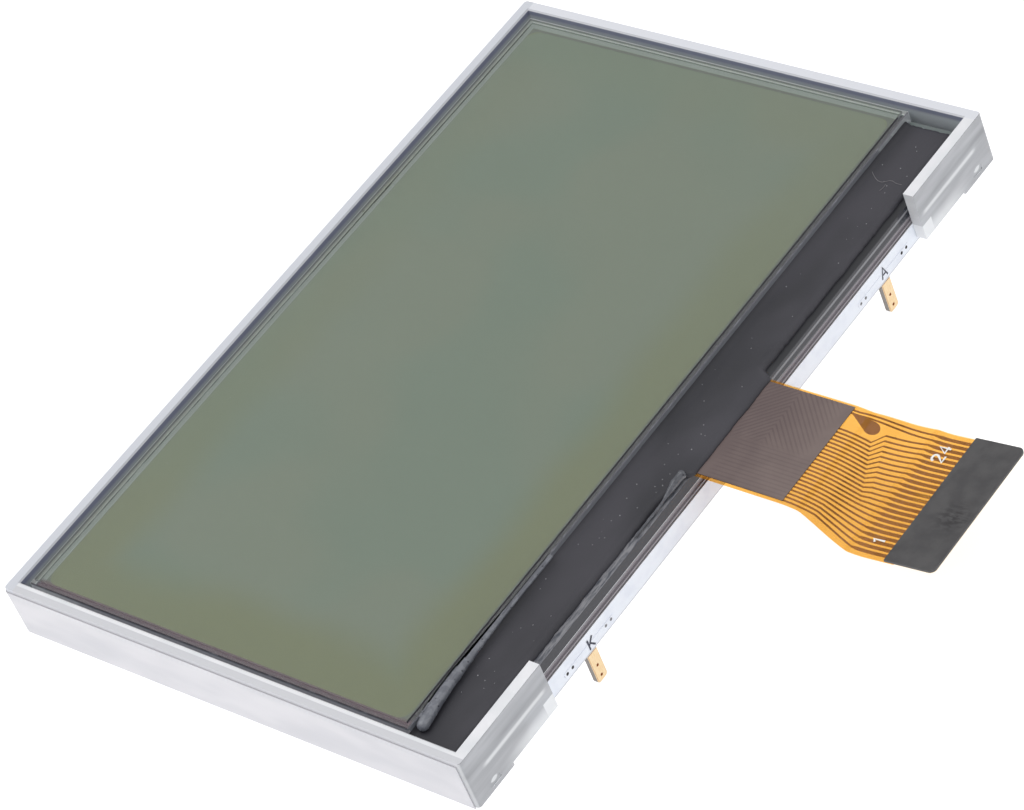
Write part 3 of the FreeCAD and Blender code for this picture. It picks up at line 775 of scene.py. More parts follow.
@dataclass(frozen=True)
class ClearPlate(Finish):
    """Clear plate glass with ground edges."""

    clear: Colour = tone(246, 249, 249)
    ground: Colour = tone(164, 168, 177)
    # Painted light on the ground edges: the low part of the -X edge is pale, the arris is dark as
    # shade, and the far edges are near white.
    ground_low_light: Colour = tone(246, 242, 250)
    arris_shade: Colour = tone(58, 54, 62)
    far_wall_light: Colour = tone(250, 251, 254)
    far: Pair = (33.4, 21.4)
    arris_pale: Colour = tone(136, 137, 146)
    ledge_y: float = -16.9
    low_z: float = 4.48
    low_x: float = -33.4

    def surface(self, s: Shading) -> bpy.types.NodeSocket:
        """Refracting through the two faces and half ground on the edges, with painted light and
        shade on the ground.

        Args:
            s: the nodes of the finish's material.

        Returns:
            The finished surface, as a shader socket.
        """
        x, y, z = s.place()
        up = s.facing()[2].absolute()
        chips = s.noise(0.16, 2.0, 0.7, stretch=(5.0, 5.0, 1.0))
        soft = s.noise(3.0, 0.0)
        clear = s.principled(Base_Color=self.clear, Roughness=0.03 + soft * 0.03, IOR=1.5,
                             Transmission_Weight=1.0)
        arris = up.band(0.3, 0.95, 0.03)
        # Painted highlight: the lower part of the -X edge, pale.
        low = x.rise(self.low_x + 0.05, self.low_x) * z.rise(self.low_z, self.low_z - 0.08)
        wall = s.mix(low, self.ground, self.ground_low_light)
        at_ledge = y.rise(self.ledge_y, self.ledge_y - 0.05)
        # The arris is painted dark as shade, and paler on chips and along the front ledge.
        rubbed = s.mix(chips.rise(0.5, 0.3) * 0.5 + at_ledge * 0.5, self.arris_shade,
                       self.arris_pale)
        # Painted light: the far edges are near white.
        far = s.past(self.far)
        ground = s.principled(
            Base_Color=s.mix(far, s.mix(arris, wall, rubbed), self.far_wall_light),
            Roughness=0.3 + chips * 0.2)
        side = up.rise(0.97, 0.9)
        share = (0.6 + arris * 0.35).largest(far * 0.9)
        return s.lets_lamps_in(s.blend(side * share, clear, ground), self.clear)


@dataclass(frozen=True)
class CellGlass(Finish):
    """Thin cell glass with a smoky top, seen against the dark cell, and broken edges.

    The edges show a thin painted glint line, and the edge is paler below it. The line is clear
    on the cathode's half, and a wider grey painted glint band above it shows on the anode's half.
    """

    top: Colour = tone(70, 74, 84)
    edge: Colour = tone(36, 37, 46)
    glint: Colour = tone(212, 213, 218)
    # The edge's paler tone below the glint line.
    rubbed: Colour = tone(150, 144, 151)
    # Painted highlights: where the glint line and the grey glint band above it lie and fade out.
    glint_z: float = 2.53
    glint_fade_x: Pair = (12.0, 0.0)
    upper: float = 3.1
    upper_glint_start: Pair = (0.0, 8.0)

    def surface(self, s: Shading) -> bpy.types.NodeSocket:
        """Dark body with thin painted glint lines along its edges.

        Args:
            s: the nodes of the finish's material.

        Returns:
            The finished surface, as a shader socket.
        """
        x, _, z = s.place()
        up = s.facing()[2].absolute()
        chips = s.noise(0.18, 2.0, 0.7, stretch=(6.0, 6.0, 1.0))
        height = z + (chips - 0.5) * 0.015
        # Painted highlights: the glint line, and a wider grey glint band above it on the anode's
        # half.
        line = height.band(self.glint_z - 0.03, self.glint_z + 0.03, 0.015)
        line = line * (x.rise(*self.glint_fade_x) * 0.85 + 0.15)
        high = height.band(self.upper - 0.1, self.upper + 0.1, 0.05)
        high = high * x.rise(*self.upper_glint_start) * 0.3
        streak = s.noise(0.2, 2.0, 0.6, stretch=(9.0, 1.0, 1.0), shift=13.0)
        # Paler below the glint line.
        side = s.mix(height.rise(self.glint_z - 0.04, self.glint_z - 0.1), self.edge, self.rubbed)
        side = s.mix(line.largest(high) * chips.rise(0.1, 0.4), side, self.glint)
        face = s.mix(streak.rise(0.35, 0.75), self.top, self.edge)
        return s.principled(
            Base_Color=s.mix(up.rise(0.5, 0.8), side, face), Roughness=0.10 + streak * 0.12,
            IOR=1.52, Normal=s.bump(streak, 0.004))


@dataclass(frozen=True)
class LedgeGlass(CellGlass):
    """The lower plate, whose bare ledge shows a scuffed grey strip beside the black resin."""

    strip: Colour = tone(138, 138, 143)
    strip_dark: Colour = tone(44, 45, 49)
    # Painted light: the bare glass by the anode-side wall, painted lighter than its shade.
    bare: Colour = tone(122, 130, 129)
    bare_x: float = 32.9
    dark_x: Pair = (2.0, 12.0)
    port: Colour = tone(164, 168, 168)
    port_x: Pair = (10.8, 13.2)
    port_y: Pair = (20.85, 21.3)

    def surface(self, s: Shading) -> bpy.types.NodeSocket:
        """The cell glass with a lighter, scuffed ledge, and the seal's tone in its fill port.

        Args:
            s: the nodes of the finish's material.

        Returns:
            The finished surface, as a shader socket.
        """
        up = s.facing()[2].rise(0.5, 0.8)
        scuff = s.noise(0.22, 3.0, 0.65, stretch=(5.0, 1.0, 1.0), shift=31.0)
        x, y, _ = s.place()
        # Painted light on the bare glass by the anode-side wall.
        bare = x.rise(self.bare_x - 0.1, self.bare_x)
        strip = s.mix(scuff.rise(0.3, 0.62), self.top, self.strip)
        strip = s.mix((x + scuff * 8).rise(*self.dark_x), strip, self.strip_dark)
        strip = s.mix(x.band(*self.port_x, 0.02) * y.band(*self.port_y, 0.02), strip, self.port)
        ledge = s.principled(
            Base_Color=s.mix(bare, strip, self.bare),
            Roughness=0.25 + scuff * 0.2, Normal=s.bump(scuff, 0.01))
        return s.blend(up, super().surface(s), ledge)


@dataclass(frozen=True)
class BrushedResin(Finish):
    """Black resin, satin, with brush marks and pale dust."""

    light: Colour = tone(64, 63, 70)
    dark: Colour = tone(48, 48, 54)
    dust: Colour = tone(132, 132, 136)

    def surface(self, s: Shading) -> bpy.types.NodeSocket:
        """Two blacks, a few fine scratches and specks.

        Args:
            s: the nodes of the finish's material.

        Returns:
            The finished surface, as a shader socket.
        """
        broad = s.noise(5.0, 2.0, stretch=(2.0, 1.0, 1.0))
        fine = s.noise(0.15, 3.0, 0.6, shift=8.0)
        specks = s.specks(0.9, 0.035, 0.35, 3.0)
        base = s.mix(broad.rise(0.35, 0.7), self.light, self.dark)
        return s.principled(
            Base_Color=s.mix(specks, base, self.dust),
            Roughness=0.5 + fine * 0.12, Normal=s.bump(fine, 0.004, s.bump(broad, 0.05)))


@dataclass(frozen=True)
class ClearDrop(Finish):
    """Cured silicone, cloudy grey and glossy."""

    body: Colour = tone(104, 107, 116)
    pale: Colour = tone(126, 129, 137)
    pit: Colour = tone(52, 54, 64)

    def surface(self, s: Shading) -> bpy.types.NodeSocket:
        """Cloudy body with small pits.

        Args:
            s: the nodes of the finish's material.

        Returns:
            The finished surface, as a shader socket.
        """
        cloud = s.noise(0.7, 2.0)
        pits = s.specks(0.42, 0.1, 0.45, 17.0)
        base = s.mix(cloud.rise(0.35, 0.7), self.body, self.pale)
        return s.principled(
            Base_Color=s.mix(pits, base, self.pit), Roughness=0.22 + cloud * 0.1,
            Coat_Weight=0.5, Coat_Roughness=0.12, Normal=s.bump(cloud, 0.02))


@dataclass(frozen=True)
class TintedFilm(Finish):
    """Thin see-through film of one tint, with a little body of its own."""

    tint: Colour = (1.0, 0.97, 0.88, 1.0)
    body: Colour = tone(235, 165, 60)
    share: float = 0.06

    def surface(self, s: Shading) -> bpy.types.NodeSocket:
        """The see-through film, with slight waves in its gloss.

        Args:
            s: the nodes of the finish's material.

        Returns:
            The finished surface, as a shader socket.
        """
        wave = s.noise(1.2, 2.0, shift=6.0)
        solid = s.principled(Base_Color=self.body, Roughness=0.28 + wave * 0.1,
                             Normal=s.bump(wave, 0.01))
        film = s.blend(self.share + wave * 0.02, s.window(self.tint), solid)
        return s.lets_lamps_in(film, self.tint)


@dataclass(frozen=True)
class ScreenedFilm(TintedFilm):
    """The ribbon's cover film, with the taupe screen under its first part.

    The traces below press through it as faint chevrons on one half and as straight lines on
    the other.
    """

    taupe: Colour = tone(124, 109, 105)
    taupe_dark: Colour = tone(94, 79, 79)
    centre: float = 0.55
    half: float = 4.93
    screen_end: float = -30.05
    pitch: float = 0.36
    bend_y: float = -25.2
    slant: float = 0.75
    chevron_start: Pair = (-22.0, -22.8)
    chevron_end: Pair = (-29.6, -28.4)
    line_start: Pair = (-22.6, -23.6)
    shade: Pair = (-29.0, -23.5)

    def surface(self, s: Shading) -> bpy.types.NodeSocket:
        """Opaque taupe over the screen and tinted film elsewhere.

        Args:
            s: the nodes of the finish's material.

        Returns:
            The finished surface, as a shader socket.
        """
        x, y, _ = s.place()
        side = (x - self.centre).absolute()
        screened = side.rise(self.half + 0.02, self.half - 0.02) * y.rise(
            self.screen_end - 0.02, self.screen_end + 0.02)
        folded = x * self.slant + (y - self.bend_y).absolute() * self.slant
        chevrons = folded.stripes(self.pitch, 0.12, 0.06) * x.rise(-0.6, 0.6)
        chevrons = chevrons * y.rise(*self.chevron_start) * y.rise(*self.chevron_end)
        lines = x.stripes(self.pitch, 0.1, 0.05) * x.rise(0.4, -0.8) * y.rise(*self.line_start)
        pressed = chevrons * 0.8 + lines * 0.6
        cloud = s.noise(2.2, 2.0, shift=12.0)
        deep = cloud.rise(0.3, 0.7) * 0.25 + pressed * 0.5 + y.rise(*self.shade) * 0.5
        base = s.mix(deep, self.taupe, self.taupe_dark)
        screen = s.principled(Base_Color=base, Roughness=0.36 + cloud * 0.1,
                              Normal=s.bump(pressed, 0.012, s.bump(cloud, 0.03)))
        return s.blend(screened, super().surface(s), screen)


@dataclass(frozen=True)
class RubbedPlate(Mottled):
    """Dark glass fibre film with one rubbed patch."""

    patch: Colour = tone(46, 44, 46)
    patch_middle: Pair = (-0.7, -42.4)
    patch_fade: Pair = (2.0, 0.2)

    def surface(self, s: Shading) -> bpy.types.NodeSocket:
        """Two close greys, darker and streaked on the patch.

        Args:
            s: the nodes of the finish's material.

        Returns:
            The finished surface, as a shader socket.
        """
        x, y, _ = s.place()
        coarse = s.noise(self.grain * 6, 3.0)
        streaks = s.noise(0.25, 2.0, stretch=(1.0, 3.0, 1.0), shift=7.0)
        off = distance(x - self.patch_middle[0], y - self.patch_middle[1])
        near = off.rise(*self.patch_fade)
        base = s.mix(coarse.rise(0.3, 0.7), self.light, self.dark)
        return s.principled(
            Base_Color=s.mix(near * streaks.rise(0.4, 0.6) * 0.9, base, self.patch),
            Roughness=self.roughness + streaks * 0.1, Normal=s.bump(streaks, 0.003))


@dataclass(frozen=True)
class GlowingPaper(Finish):
    """White paper on a light table, so that shadows on it stay faint."""

    light: Colour = tone(172, 172, 173)
    dark: Colour = tone(168, 168, 170)
    white: Colour = tone(255, 255, 255)
    glow: float = 0.85

    def surface(self, s: Shading) -> bpy.types.NodeSocket:
        """Matt white with an even glow.

        Args:
            s: the nodes of the finish's material.

        Returns:
            The finished surface, as a shader socket.
        """
        fibres = s.noise(30.0, 3.0)
        return s.principled(
            Base_Color=s.mix(fibres, self.light, self.dark), Roughness=0.8 + fibres * 0.1,
            Emission_Color=self.white, Emission_Strength=self.glow)


@dataclass(frozen=True)
class Studio:
    """Pale floor, soft light and the camera at the photograph's place."""

    floor_height: float = -3.0
    floor_side: float = 3000.0
    sky: float = 0.55
    lens: float = 148.89
    sensor: float = 36.0
    sees: Pair = (20.0, 10000.0)
    eye: Point = (-148.95, -196.08, 217.29)
    look_azimuth: float = -37.099
    look_elevation: float = 41.568
    roll: float = -23.486

    def build(self) -> None:
        """Make the floor, the sky, the lamps and the camera."""
        self.floor()
        self.light_sky()
        self.lamp("key_lamp", (-120.0, 160.0, 480.0), 600.0, 1.35)
        self.lamp("side_lamp", (330.0, -260.0, 300.0), 500.0, 0.35)
        self.camera()

    def floor(self) -> None:
        """A large pale sheet under the part."""
        half = self.floor_side / 2 * MM
        height = self.floor_height * MM
        corners = [(-half, -half, height), (half, -half, height), (half, half, height),
                   (-half, half, height)]
        mesh = bpy.data.meshes.new("pale_floor")
        mesh.from_pydata(corners, [], [(0, 1, 2, 3)])
        mesh.materials.append(GlowingPaper("floor_paper").material())
        sheet = bpy.data.objects.new("pale_floor", mesh)
        bpy.context.scene.collection.objects.link(sheet)

    def light_sky(self) -> None:
        """Even white light from all round."""
        world = bpy.data.worlds.new("studio_sky")
        world.use_nodes = True
        graph = NodeGraph(world.node_tree)
        back = graph.node("ShaderNodeBackground", None, {0: tone(255, 255, 255), 1: self.sky})
        graph.node("ShaderNodeOutputWorld", None, {"Surface": back.outputs[0]})
        bpy.context.scene.world = world
        bpy.context.scene.view_settings.view_transform = "Standard"

    def lamp(self, name: str, place: Point, side: float, watts: float) -> None:
        """One square softbox aimed at the part's middle.

        Args:
            name: the lamp's name.
            place: where it hangs.
            side: the length of its side.
            watts: its power.
        """
        light = bpy.data.lights.new(name, "AREA")
        light.size = side * MM
        light.energy = watts
        lamp = bpy.data.objects.new(name, light)
        lamp.location = Vector(place) * MM
        lamp.rotation_euler = lamp.location.to_track_quat("Z", "Y").to_euler()
        bpy.context.scene.collection.objects.link(lamp)

    def camera(self) -> None:
        """A long lens, turned about its own axis as the photograph is."""
        azimuth, height, roll = (math.radians(a) for a in
                                 (self.look_azimuth, self.look_elevation, self.roll))
        back = Vector((math.sin(azimuth) * math.cos(height),
                       -math.cos(azimuth) * math.cos(height), math.sin(height)))
        level = Vector((math.cos(azimuth), math.sin(azimuth), 0.0))
        upright = back.cross(level)
        right = level * math.cos(roll) + upright * math.sin(roll)
        turn = Matrix((right, back.cross(right), back)).transposed()
        lens = bpy.data.cameras.new("camera")
        lens.lens, lens.sensor_width = self.lens, self.sensor
        lens.clip_start, lens.clip_end = (reach * MM for reach in self.sees)
        eye = bpy.data.objects.new("camera", lens)
        eye.matrix_world = Matrix.Translation(Vector(self.eye) * MM) @ turn.to_4x4()
        bpy.context.scene.collection.objects.link(eye)
        bpy.context.scene.camera = eye


def dress(finish: Finish, *nodes: str) -> None:
    """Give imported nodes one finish.

    Args:
        finish: what they are made of.
        nodes: the nodes' names.
    """
    for name in nodes:
        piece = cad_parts[name]
        if not piece.material_slots:
            piece.data.materials.append(None)
        for slot in piece.material_slots:
            slot.material = finish.material()


def add_piece(name: str, mesh: bpy.types.Mesh, slot: str, *stands_for: str) -> bpy.types.Object:
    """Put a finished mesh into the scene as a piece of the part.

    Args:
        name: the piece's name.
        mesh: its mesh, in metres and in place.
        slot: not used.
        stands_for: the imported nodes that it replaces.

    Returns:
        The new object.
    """
    piece = bpy.data.objects.new(name, mesh)
    bpy.context.scene.collection.objects.link(piece)
    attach(piece, BODY)
    if stands_for:
        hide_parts(*stands_for)
    log.info("%s: %d faces", name, len(mesh.polygons))
    return piece


STROKES: Dict[str, List[List[Pair]]] = {
    "A": [[(0, 0), (0.36, 1), (0.72, 0)], [(0.12, 0.34), (0.6, 0.34)]],
    "K": [[(0, 0), (0, 1)], [(0.6, 1), (0, 0.36)], [(0.2, 0.56), (0.64, 0)]],
    "1": [[(0, 0.78), (0.24, 1), (0.24, 0)]],
    "2": [[(0, 0.76), (0.07, 0.93), (0.22, 1), (0.42, 1), (0.57, 0.92), (0.61, 0.75),
           (0.54, 0.58), (0, 0), (0.64, 0)]],
    "4": [[(0.48, 0), (0.48, 1), (0, 0.3), (0.66, 0.3)]],
}


@dataclass(frozen=True)
class Lettering:
    """Printed characters drawn with one round-ended stroke.

    The stroke is a share of the height, and so is the gap between two characters.
    """

    height: float
    stroke: float = 0.11
    thick: float = 0.014
    gap: float = 0.28

    def mesh(self, text: str, place: Matrix, finish: Finish, name: str) -> bpy.types.Mesh:
        """The characters as a mesh.

        Args:
            text: the characters.
            place: where their middle stands, in millimetres; they lie in its XY plane.
            finish: the ink.
            name: the mesh's name.

        Returns:
            The mesh, in metres and in place.
        """
        curve = bpy.data.curves.new(name, "CURVE")
        curve.dimensions = "3D"
        curve.bevel_depth = self.stroke / 2
        curve.bevel_resolution = 2
        curve.use_fill_caps = True
        pen = 0.0
        for letter in text:
            lines = STROKES[letter]
            for line in lines:
                spline = curve.splines.new("POLY")
                spline.points.add(len(line) - 1)
                for point, (x, y) in zip(spline.points, line):
                    point.co = ((pen + x) * self.height, (y - 0.5) * self.height, 0, 1)
            pen += max(x for line in lines for x, _ in line) + self.gap
        middle = Matrix.Translation((-(pen - self.gap) * self.height / 2, 0, 0))
        holder = bpy.data.objects.new(name + "_line", curve)
        bpy.context.scene.collection.objects.link(holder)
        bpy.context.view_layer.update()
        mesh = bpy.data.meshes.new_from_object(holder)
        bpy.data.objects.remove(holder)
        flat = Matrix.Diagonal((1, 1, self.thick / self.stroke, 1))
        mesh.transform(Matrix.Scale(MM, 4) @ place @ flat @ middle)
        mesh.name = name
        mesh.materials.clear()
        mesh.materials.append(finish.material())
        return mesh


def path_curve(name: str, points: Sequence[Point]) -> bpy.types.Curve:
    """A smooth open curve.

    Args:
        name: the curve's name.
        points: its control points, in millimetres.

    Returns:
        The curve, which starts and ends at the outer points.
    """
    curve = bpy.data.curves.new(name, "CURVE")
    curve.dimensions = "3D"
    spline = curve.splines.new("NURBS")
    spline.points.add(len(points) - 1)
    for point, place in zip(spline.points, points):
        point.co = (*place, 1)
    spline.order_u = 3
    spline.use_endpoint_u = True
    return curve


def drape(mesh: bpy.types.Mesh, node: str, lift: float, above: float = 20.0) -> None:
    """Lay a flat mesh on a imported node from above.

    Args:
        mesh: the mesh, whose heights are counted from zero.
        node: the node that carries it.
        lift: the gap under it, in millimetres.
        above: a height over everything, from which the node is looked for.
    """
    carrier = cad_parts[node]
    for vertex in mesh.vertices:
        x, y, z = vertex.co
        hit, place, _, _ = carrier.ray_cast(Vector((x, y, above * MM)), Vector((0, 0, -1)))
        vertex.co.z = z + lift * MM + (place.z if hit else 0.0)


@dataclass(frozen=True)
class SqueezedRun:
    """A run of silicone along a path, thick at its start, resting on what lies under it.

    It slims down between the shares of its length given by start_end and neck, and it rests on
    the floor, or past edge_y on what is edge_z high.
    """

    name: str
    path: Tuple[Point, ...]
    start_radius: float
    end_radius: float
    neck: float
    floor: float
    edge_y: float = 100.0
    edge_z: float = 0.0
    lumps: float = 0.16
    lump_rate: float = 1.1
    spacing: float = 0.07
    start_end: float = 0.05
    sides: int = 22
    tail_cap: float = 0.6
    thinnest: float = 0.02

    def mesh(self, finish: Finish) -> bpy.types.Mesh:
        """Sweep a lumpy round section along the path and press it onto its floor.

        Args:
            finish: what the piece is made of.

        Returns:
            The mesh, in metres and in place.
        """
        length = sum((Vector(a) - Vector(b)).length for a, b in zip(self.path, self.path[1:]))
        recipe = Recipe(self.name, start_radius=self.start_radius, end_radius=self.end_radius,
                        neck=self.neck, floor=self.floor, edge_y=self.edge_y, edge_z=self.edge_z,
                        lumps=self.lumps, spacing=self.spacing, sides=self.sides,
                        start_end=self.start_end, cap=self.start_radius / length)
        given = recipe.given
        line = recipe.node("GeometryNodeResampleCurve", {"mode": "LENGTH"},
                           {"Curve": given["Base"], "Length": given["spacing"]})
        share = Amount(recipe, recipe.node("GeometryNodeSplineParameter").outputs["Factor"])
        slim = recipe.node("ShaderNodeMapRange", {"interpolation_type": "SMOOTHSTEP"},
                           {"Value": share, "From Min": given["start_end"],
                            "From Max": given["neck"],
                            "To Min": given["start_radius"], "To Max": given["end_radius"]})
        uneven = recipe.node("ShaderNodeTexNoise", None,
                             {"Scale": self.lump_rate, "Detail": 2.0})
        bulge = (Amount(recipe, uneven.outputs[0]) - 0.5) * recipe.size("lumps") * 4 + 1
        nose = 1 - (share / recipe.size("cap")).smallest(1.0)
        tail = 1 - ((1 - share) / (recipe.size("cap") * self.tail_cap)).smallest(1.0)
        ends = ((1 - nose * nose).largest(0.0).root() * (1 - tail * tail).largest(0.0).root())
        radius = Amount(recipe, slim.outputs[0]) * bulge * ends.largest(self.thinnest)
        ring = recipe.node("GeometryNodeCurvePrimitiveCircle", None,
                           {"Resolution": given["sides"], "Radius": 1.0})
        tube = recipe.node("GeometryNodeCurveToMesh", None,
                           {"Curve": line.outputs[0], "Profile Curve": ring.outputs[0],
                            "Scale": radius, "Fill Caps": True})
        parts = recipe.node("ShaderNodeSeparateXYZ", None,
                            {0: recipe.node("GeometryNodeInputPosition").outputs[0]})
        x, y, z = (Amount(recipe, parts.outputs[i]) for i in range(3))
        beyond = y.beyond(recipe.size("edge_y"))
        rest = recipe.size("floor") + beyond * (recipe.size("edge_z") - recipe.size("floor"))
        place = recipe.node("ShaderNodeCombineXYZ", None, {0: x, 1: y, 2: z.largest(rest)})
        pressed = recipe.node("GeometryNodeSetPosition", None,
                              {"Geometry": tube.outputs[0], "Position": place.outputs[0]})
        return recipe.mesh(pressed.outputs[0], finish, path_curve(self.name, self.path))


@dataclass(frozen=True)
class Dust:
    """Small specks that lie on a level rectangle."""

    name: str
    middle: Point
    size: Pair
    count: int
    seed: int
    smallest: float = 0.02
    largest: float = 0.055
    flatness: float = 0.4

    def mesh(self, finish: Finish) -> bpy.types.Mesh:
        """Scatter flattened grains, always the same for one seed.

        Args:
            finish: what the piece is made of.

        Returns:
            The mesh, in metres and in place.
        """
        size_x, size_y = self.size
        least, most = ((radius, radius, radius * self.flatness)
                       for radius in (self.smallest, self.largest))
        recipe = Recipe(self.name, middle=self.middle, size_x=size_x, size_y=size_y,
                        density=self.count / (size_x * size_y), smallest=least, largest=most,
                        seed=self.seed)
        given = recipe.given
        sheet = recipe.node("GeometryNodeMeshGrid", None,
                            {"Size X": given["size_x"], "Size Y": given["size_y"],
                             "Vertices X": 2, "Vertices Y": 2})
        placed = recipe.node("GeometryNodeTransform", None,
                             {"Geometry": sheet.outputs[0], "Translation": given["middle"]})
        spots = recipe.node("GeometryNodeDistributePointsOnFaces", None,
                            {"Mesh": placed.outputs[0], "Density": given["density"],
                             "Seed": given["seed"]})
        grain = recipe.node("GeometryNodeMeshIcoSphere", None, {"Radius": 1.0, "Subdivisions": 2})
        size = recipe.node("FunctionNodeRandomValue", {"data_type": "FLOAT_VECTOR"},
                           {0: given["smallest"], 1: given["largest"], "Seed": given["seed"]})
        grains = recipe.node("GeometryNodeInstanceOnPoints", None,
                             {"Points": spots.outputs[0], "Instance": grain.outputs[0],
                              "Scale": size.outputs[0]})
        return recipe.mesh(grains.outputs[0], finish)


@dataclass(frozen=True)
class ViaRings:
    """Bare copper rings round vias that repeat at a step along the strip's face."""

    name: str
    first: Point
    step: float
    radius: float = 0.11
    width: float = 0.07
    height_share: float = 1.35
    flatness: float = 0.2
    ring_sides: int = 28
    wire_sides: int = 8

    def mesh(self, finish: Finish) -> bpy.types.Mesh:
        """A flat ring at each of two places.

        Args:
            finish: what the piece is made of.

        Returns:
            The mesh, in metres and in place.
        """
        recipe = Recipe(self.name, first=self.first, step=(self.step, 0.0, 0.0),
                        radius=self.radius, half_width=self.width / 2, count=2)
        given = recipe.given
        row = recipe.node("GeometryNodeMeshLine", None,
                          {"Count": given["count"], "Start Location": given["first"],
                           "Offset": given["step"]})
        circle = recipe.node("GeometryNodeCurvePrimitiveCircle", None,
                             {"Resolution": self.ring_sides, "Radius": given["radius"]})
        section = recipe.node("GeometryNodeCurvePrimitiveCircle", None,
                              {"Resolution": self.wire_sides, "Radius": given["half_width"]})
        ring = recipe.node("GeometryNodeCurveToMesh", None,
                           {"Curve": circle.outputs[0], "Profile Curve": section.outputs[0]})
        upright = recipe.node("GeometryNodeTransform", None,
                              {"Geometry": ring.outputs[0], "Rotation": (math.pi / 2, 0, 0),
                               "Scale": (1.0, 1.0, self.height_share)})
        flat = recipe.node("GeometryNodeTransform", None,
                           {"Geometry": upright.outputs[0], "Scale": (1.0, self.flatness, 1.0)})
        rings = recipe.node("GeometryNodeInstanceOnPoints", None,
                            {"Points": row.outputs[0], "Instance": flat.outputs[0]})
        return recipe.mesh(rings.outputs[0], finish)


@dataclass
class Tray:
    """The clear tray with the films on its sides and its rear."""

    def build(self) -> None:
        """Dress the tray and its films."""
        dress(FrostedAcrylic("frosted_acrylic"), "light_guide_tray")
        dress(EdgeFilm("white_edge_film"), "edge_tape")
        dress(Mottled("reflector_film", tone(238, 238, 242), tone(228, 228, 234), grain=0.5,
                      roughness=0.3), "rear_reflector")


@dataclass
class LedStrip:
    """The strip of LEDs on its white laminate, with its tabs, marks and copper."""

    led_count: int = 8
    via_z: float = 0.62
    via_step: float = 0.66
    link_face: float = -22.03
    anode_x: float = 20.35
    anode_reach: float = 2.9
    cathode_x: float = -19.6
    cathode_reach: float = 2.45
    anode_mark: Pair = (20.45, 0.86)
    cathode_mark: Pair = (-19.3, 0.74)

    def build(self) -> None:
        """Dress the strip and print its two marks."""
        copper = Mottled("track_copper", tone(214, 140, 100), tone(180, 108, 74), grain=0.2,
                         roughness=0.35, metal=0.9)
        dress(Laminate("white_laminate_strip"), "led_board")
        dress(MaskedLink("masked_links"), "anode_tab_link", "cathode_tab_link")
        dress(PlatedTab("gold_tabs"), "anode_tab_plating", "cathode_tab_plating")
        dress(copper, "anode_track", "cathode_track")
        dress(Mottled("solder_fillets", tone(196, 198, 202), tone(160, 162, 168), grain=0.2,
                      roughness=0.28, metal=0.9), "led_solder")
        numbers = range(1, self.led_count + 1)
        dress(Mottled("led_resin", tone(240, 240, 236), tone(228, 228, 224), grain=0.15,
                      roughness=0.4), *["led_%d_housing" % i for i in numbers])
        dress(Mottled("led_phosphor_fill", tone(236, 214, 92), tone(224, 198, 70), grain=0.1,
                      roughness=0.5), *["led_%d_phosphor" % i for i in numbers])
        self.print_marks()
        self.ring_vias()

    def print_marks(self) -> None:
        """The letters beside the two tabs, on the strip's outer face."""
        ink = Mottled("strip_ink", tone(44, 48, 66), tone(60, 62, 78), grain=0.1,
                      roughness=0.5)
        upright = Matrix.Rotation(math.radians(90), 4, "X")
        pen = Lettering(0.98, stroke=0.15)
        for text, (x, z), name in (("A", self.anode_mark, "anode_mark"),
                                   ("K", self.cathode_mark, "cathode_mark")):
            place = Matrix.Translation((x, self.link_face - pen.thick / 2, z)) @ upright
            add_piece(name, pen.mesh(text, place, ink, name), "mask_ink")

    def ring_vias(self) -> None:
        """Dark rings on the outer pair of vias of each tab and pale rings on the inner pair."""
        dark = Mottled("tarnished_ring", tone(74, 70, 70), tone(58, 54, 56), grain=0.08,
                       roughness=0.5)
        pale = Mottled("tinned_ring", tone(168, 168, 172), tone(148, 148, 152), grain=0.08,
                       roughness=0.45)
        pairs = (("anode_outer_rings", self.anode_x + self.anode_reach, dark),
                 ("anode_inner_rings", self.anode_x - self.anode_reach, pale),
                 ("cathode_outer_rings", self.cathode_x - self.cathode_reach, dark),
                 ("cathode_inner_rings", self.cathode_x + self.cathode_reach, pale))
        for name, x, finish in pairs:
            first = (x - self.via_step / 2, self.link_face, self.via_z)
            add_piece(name, ViaRings(name, first, self.via_step).mesh(finish), "copper_foil")


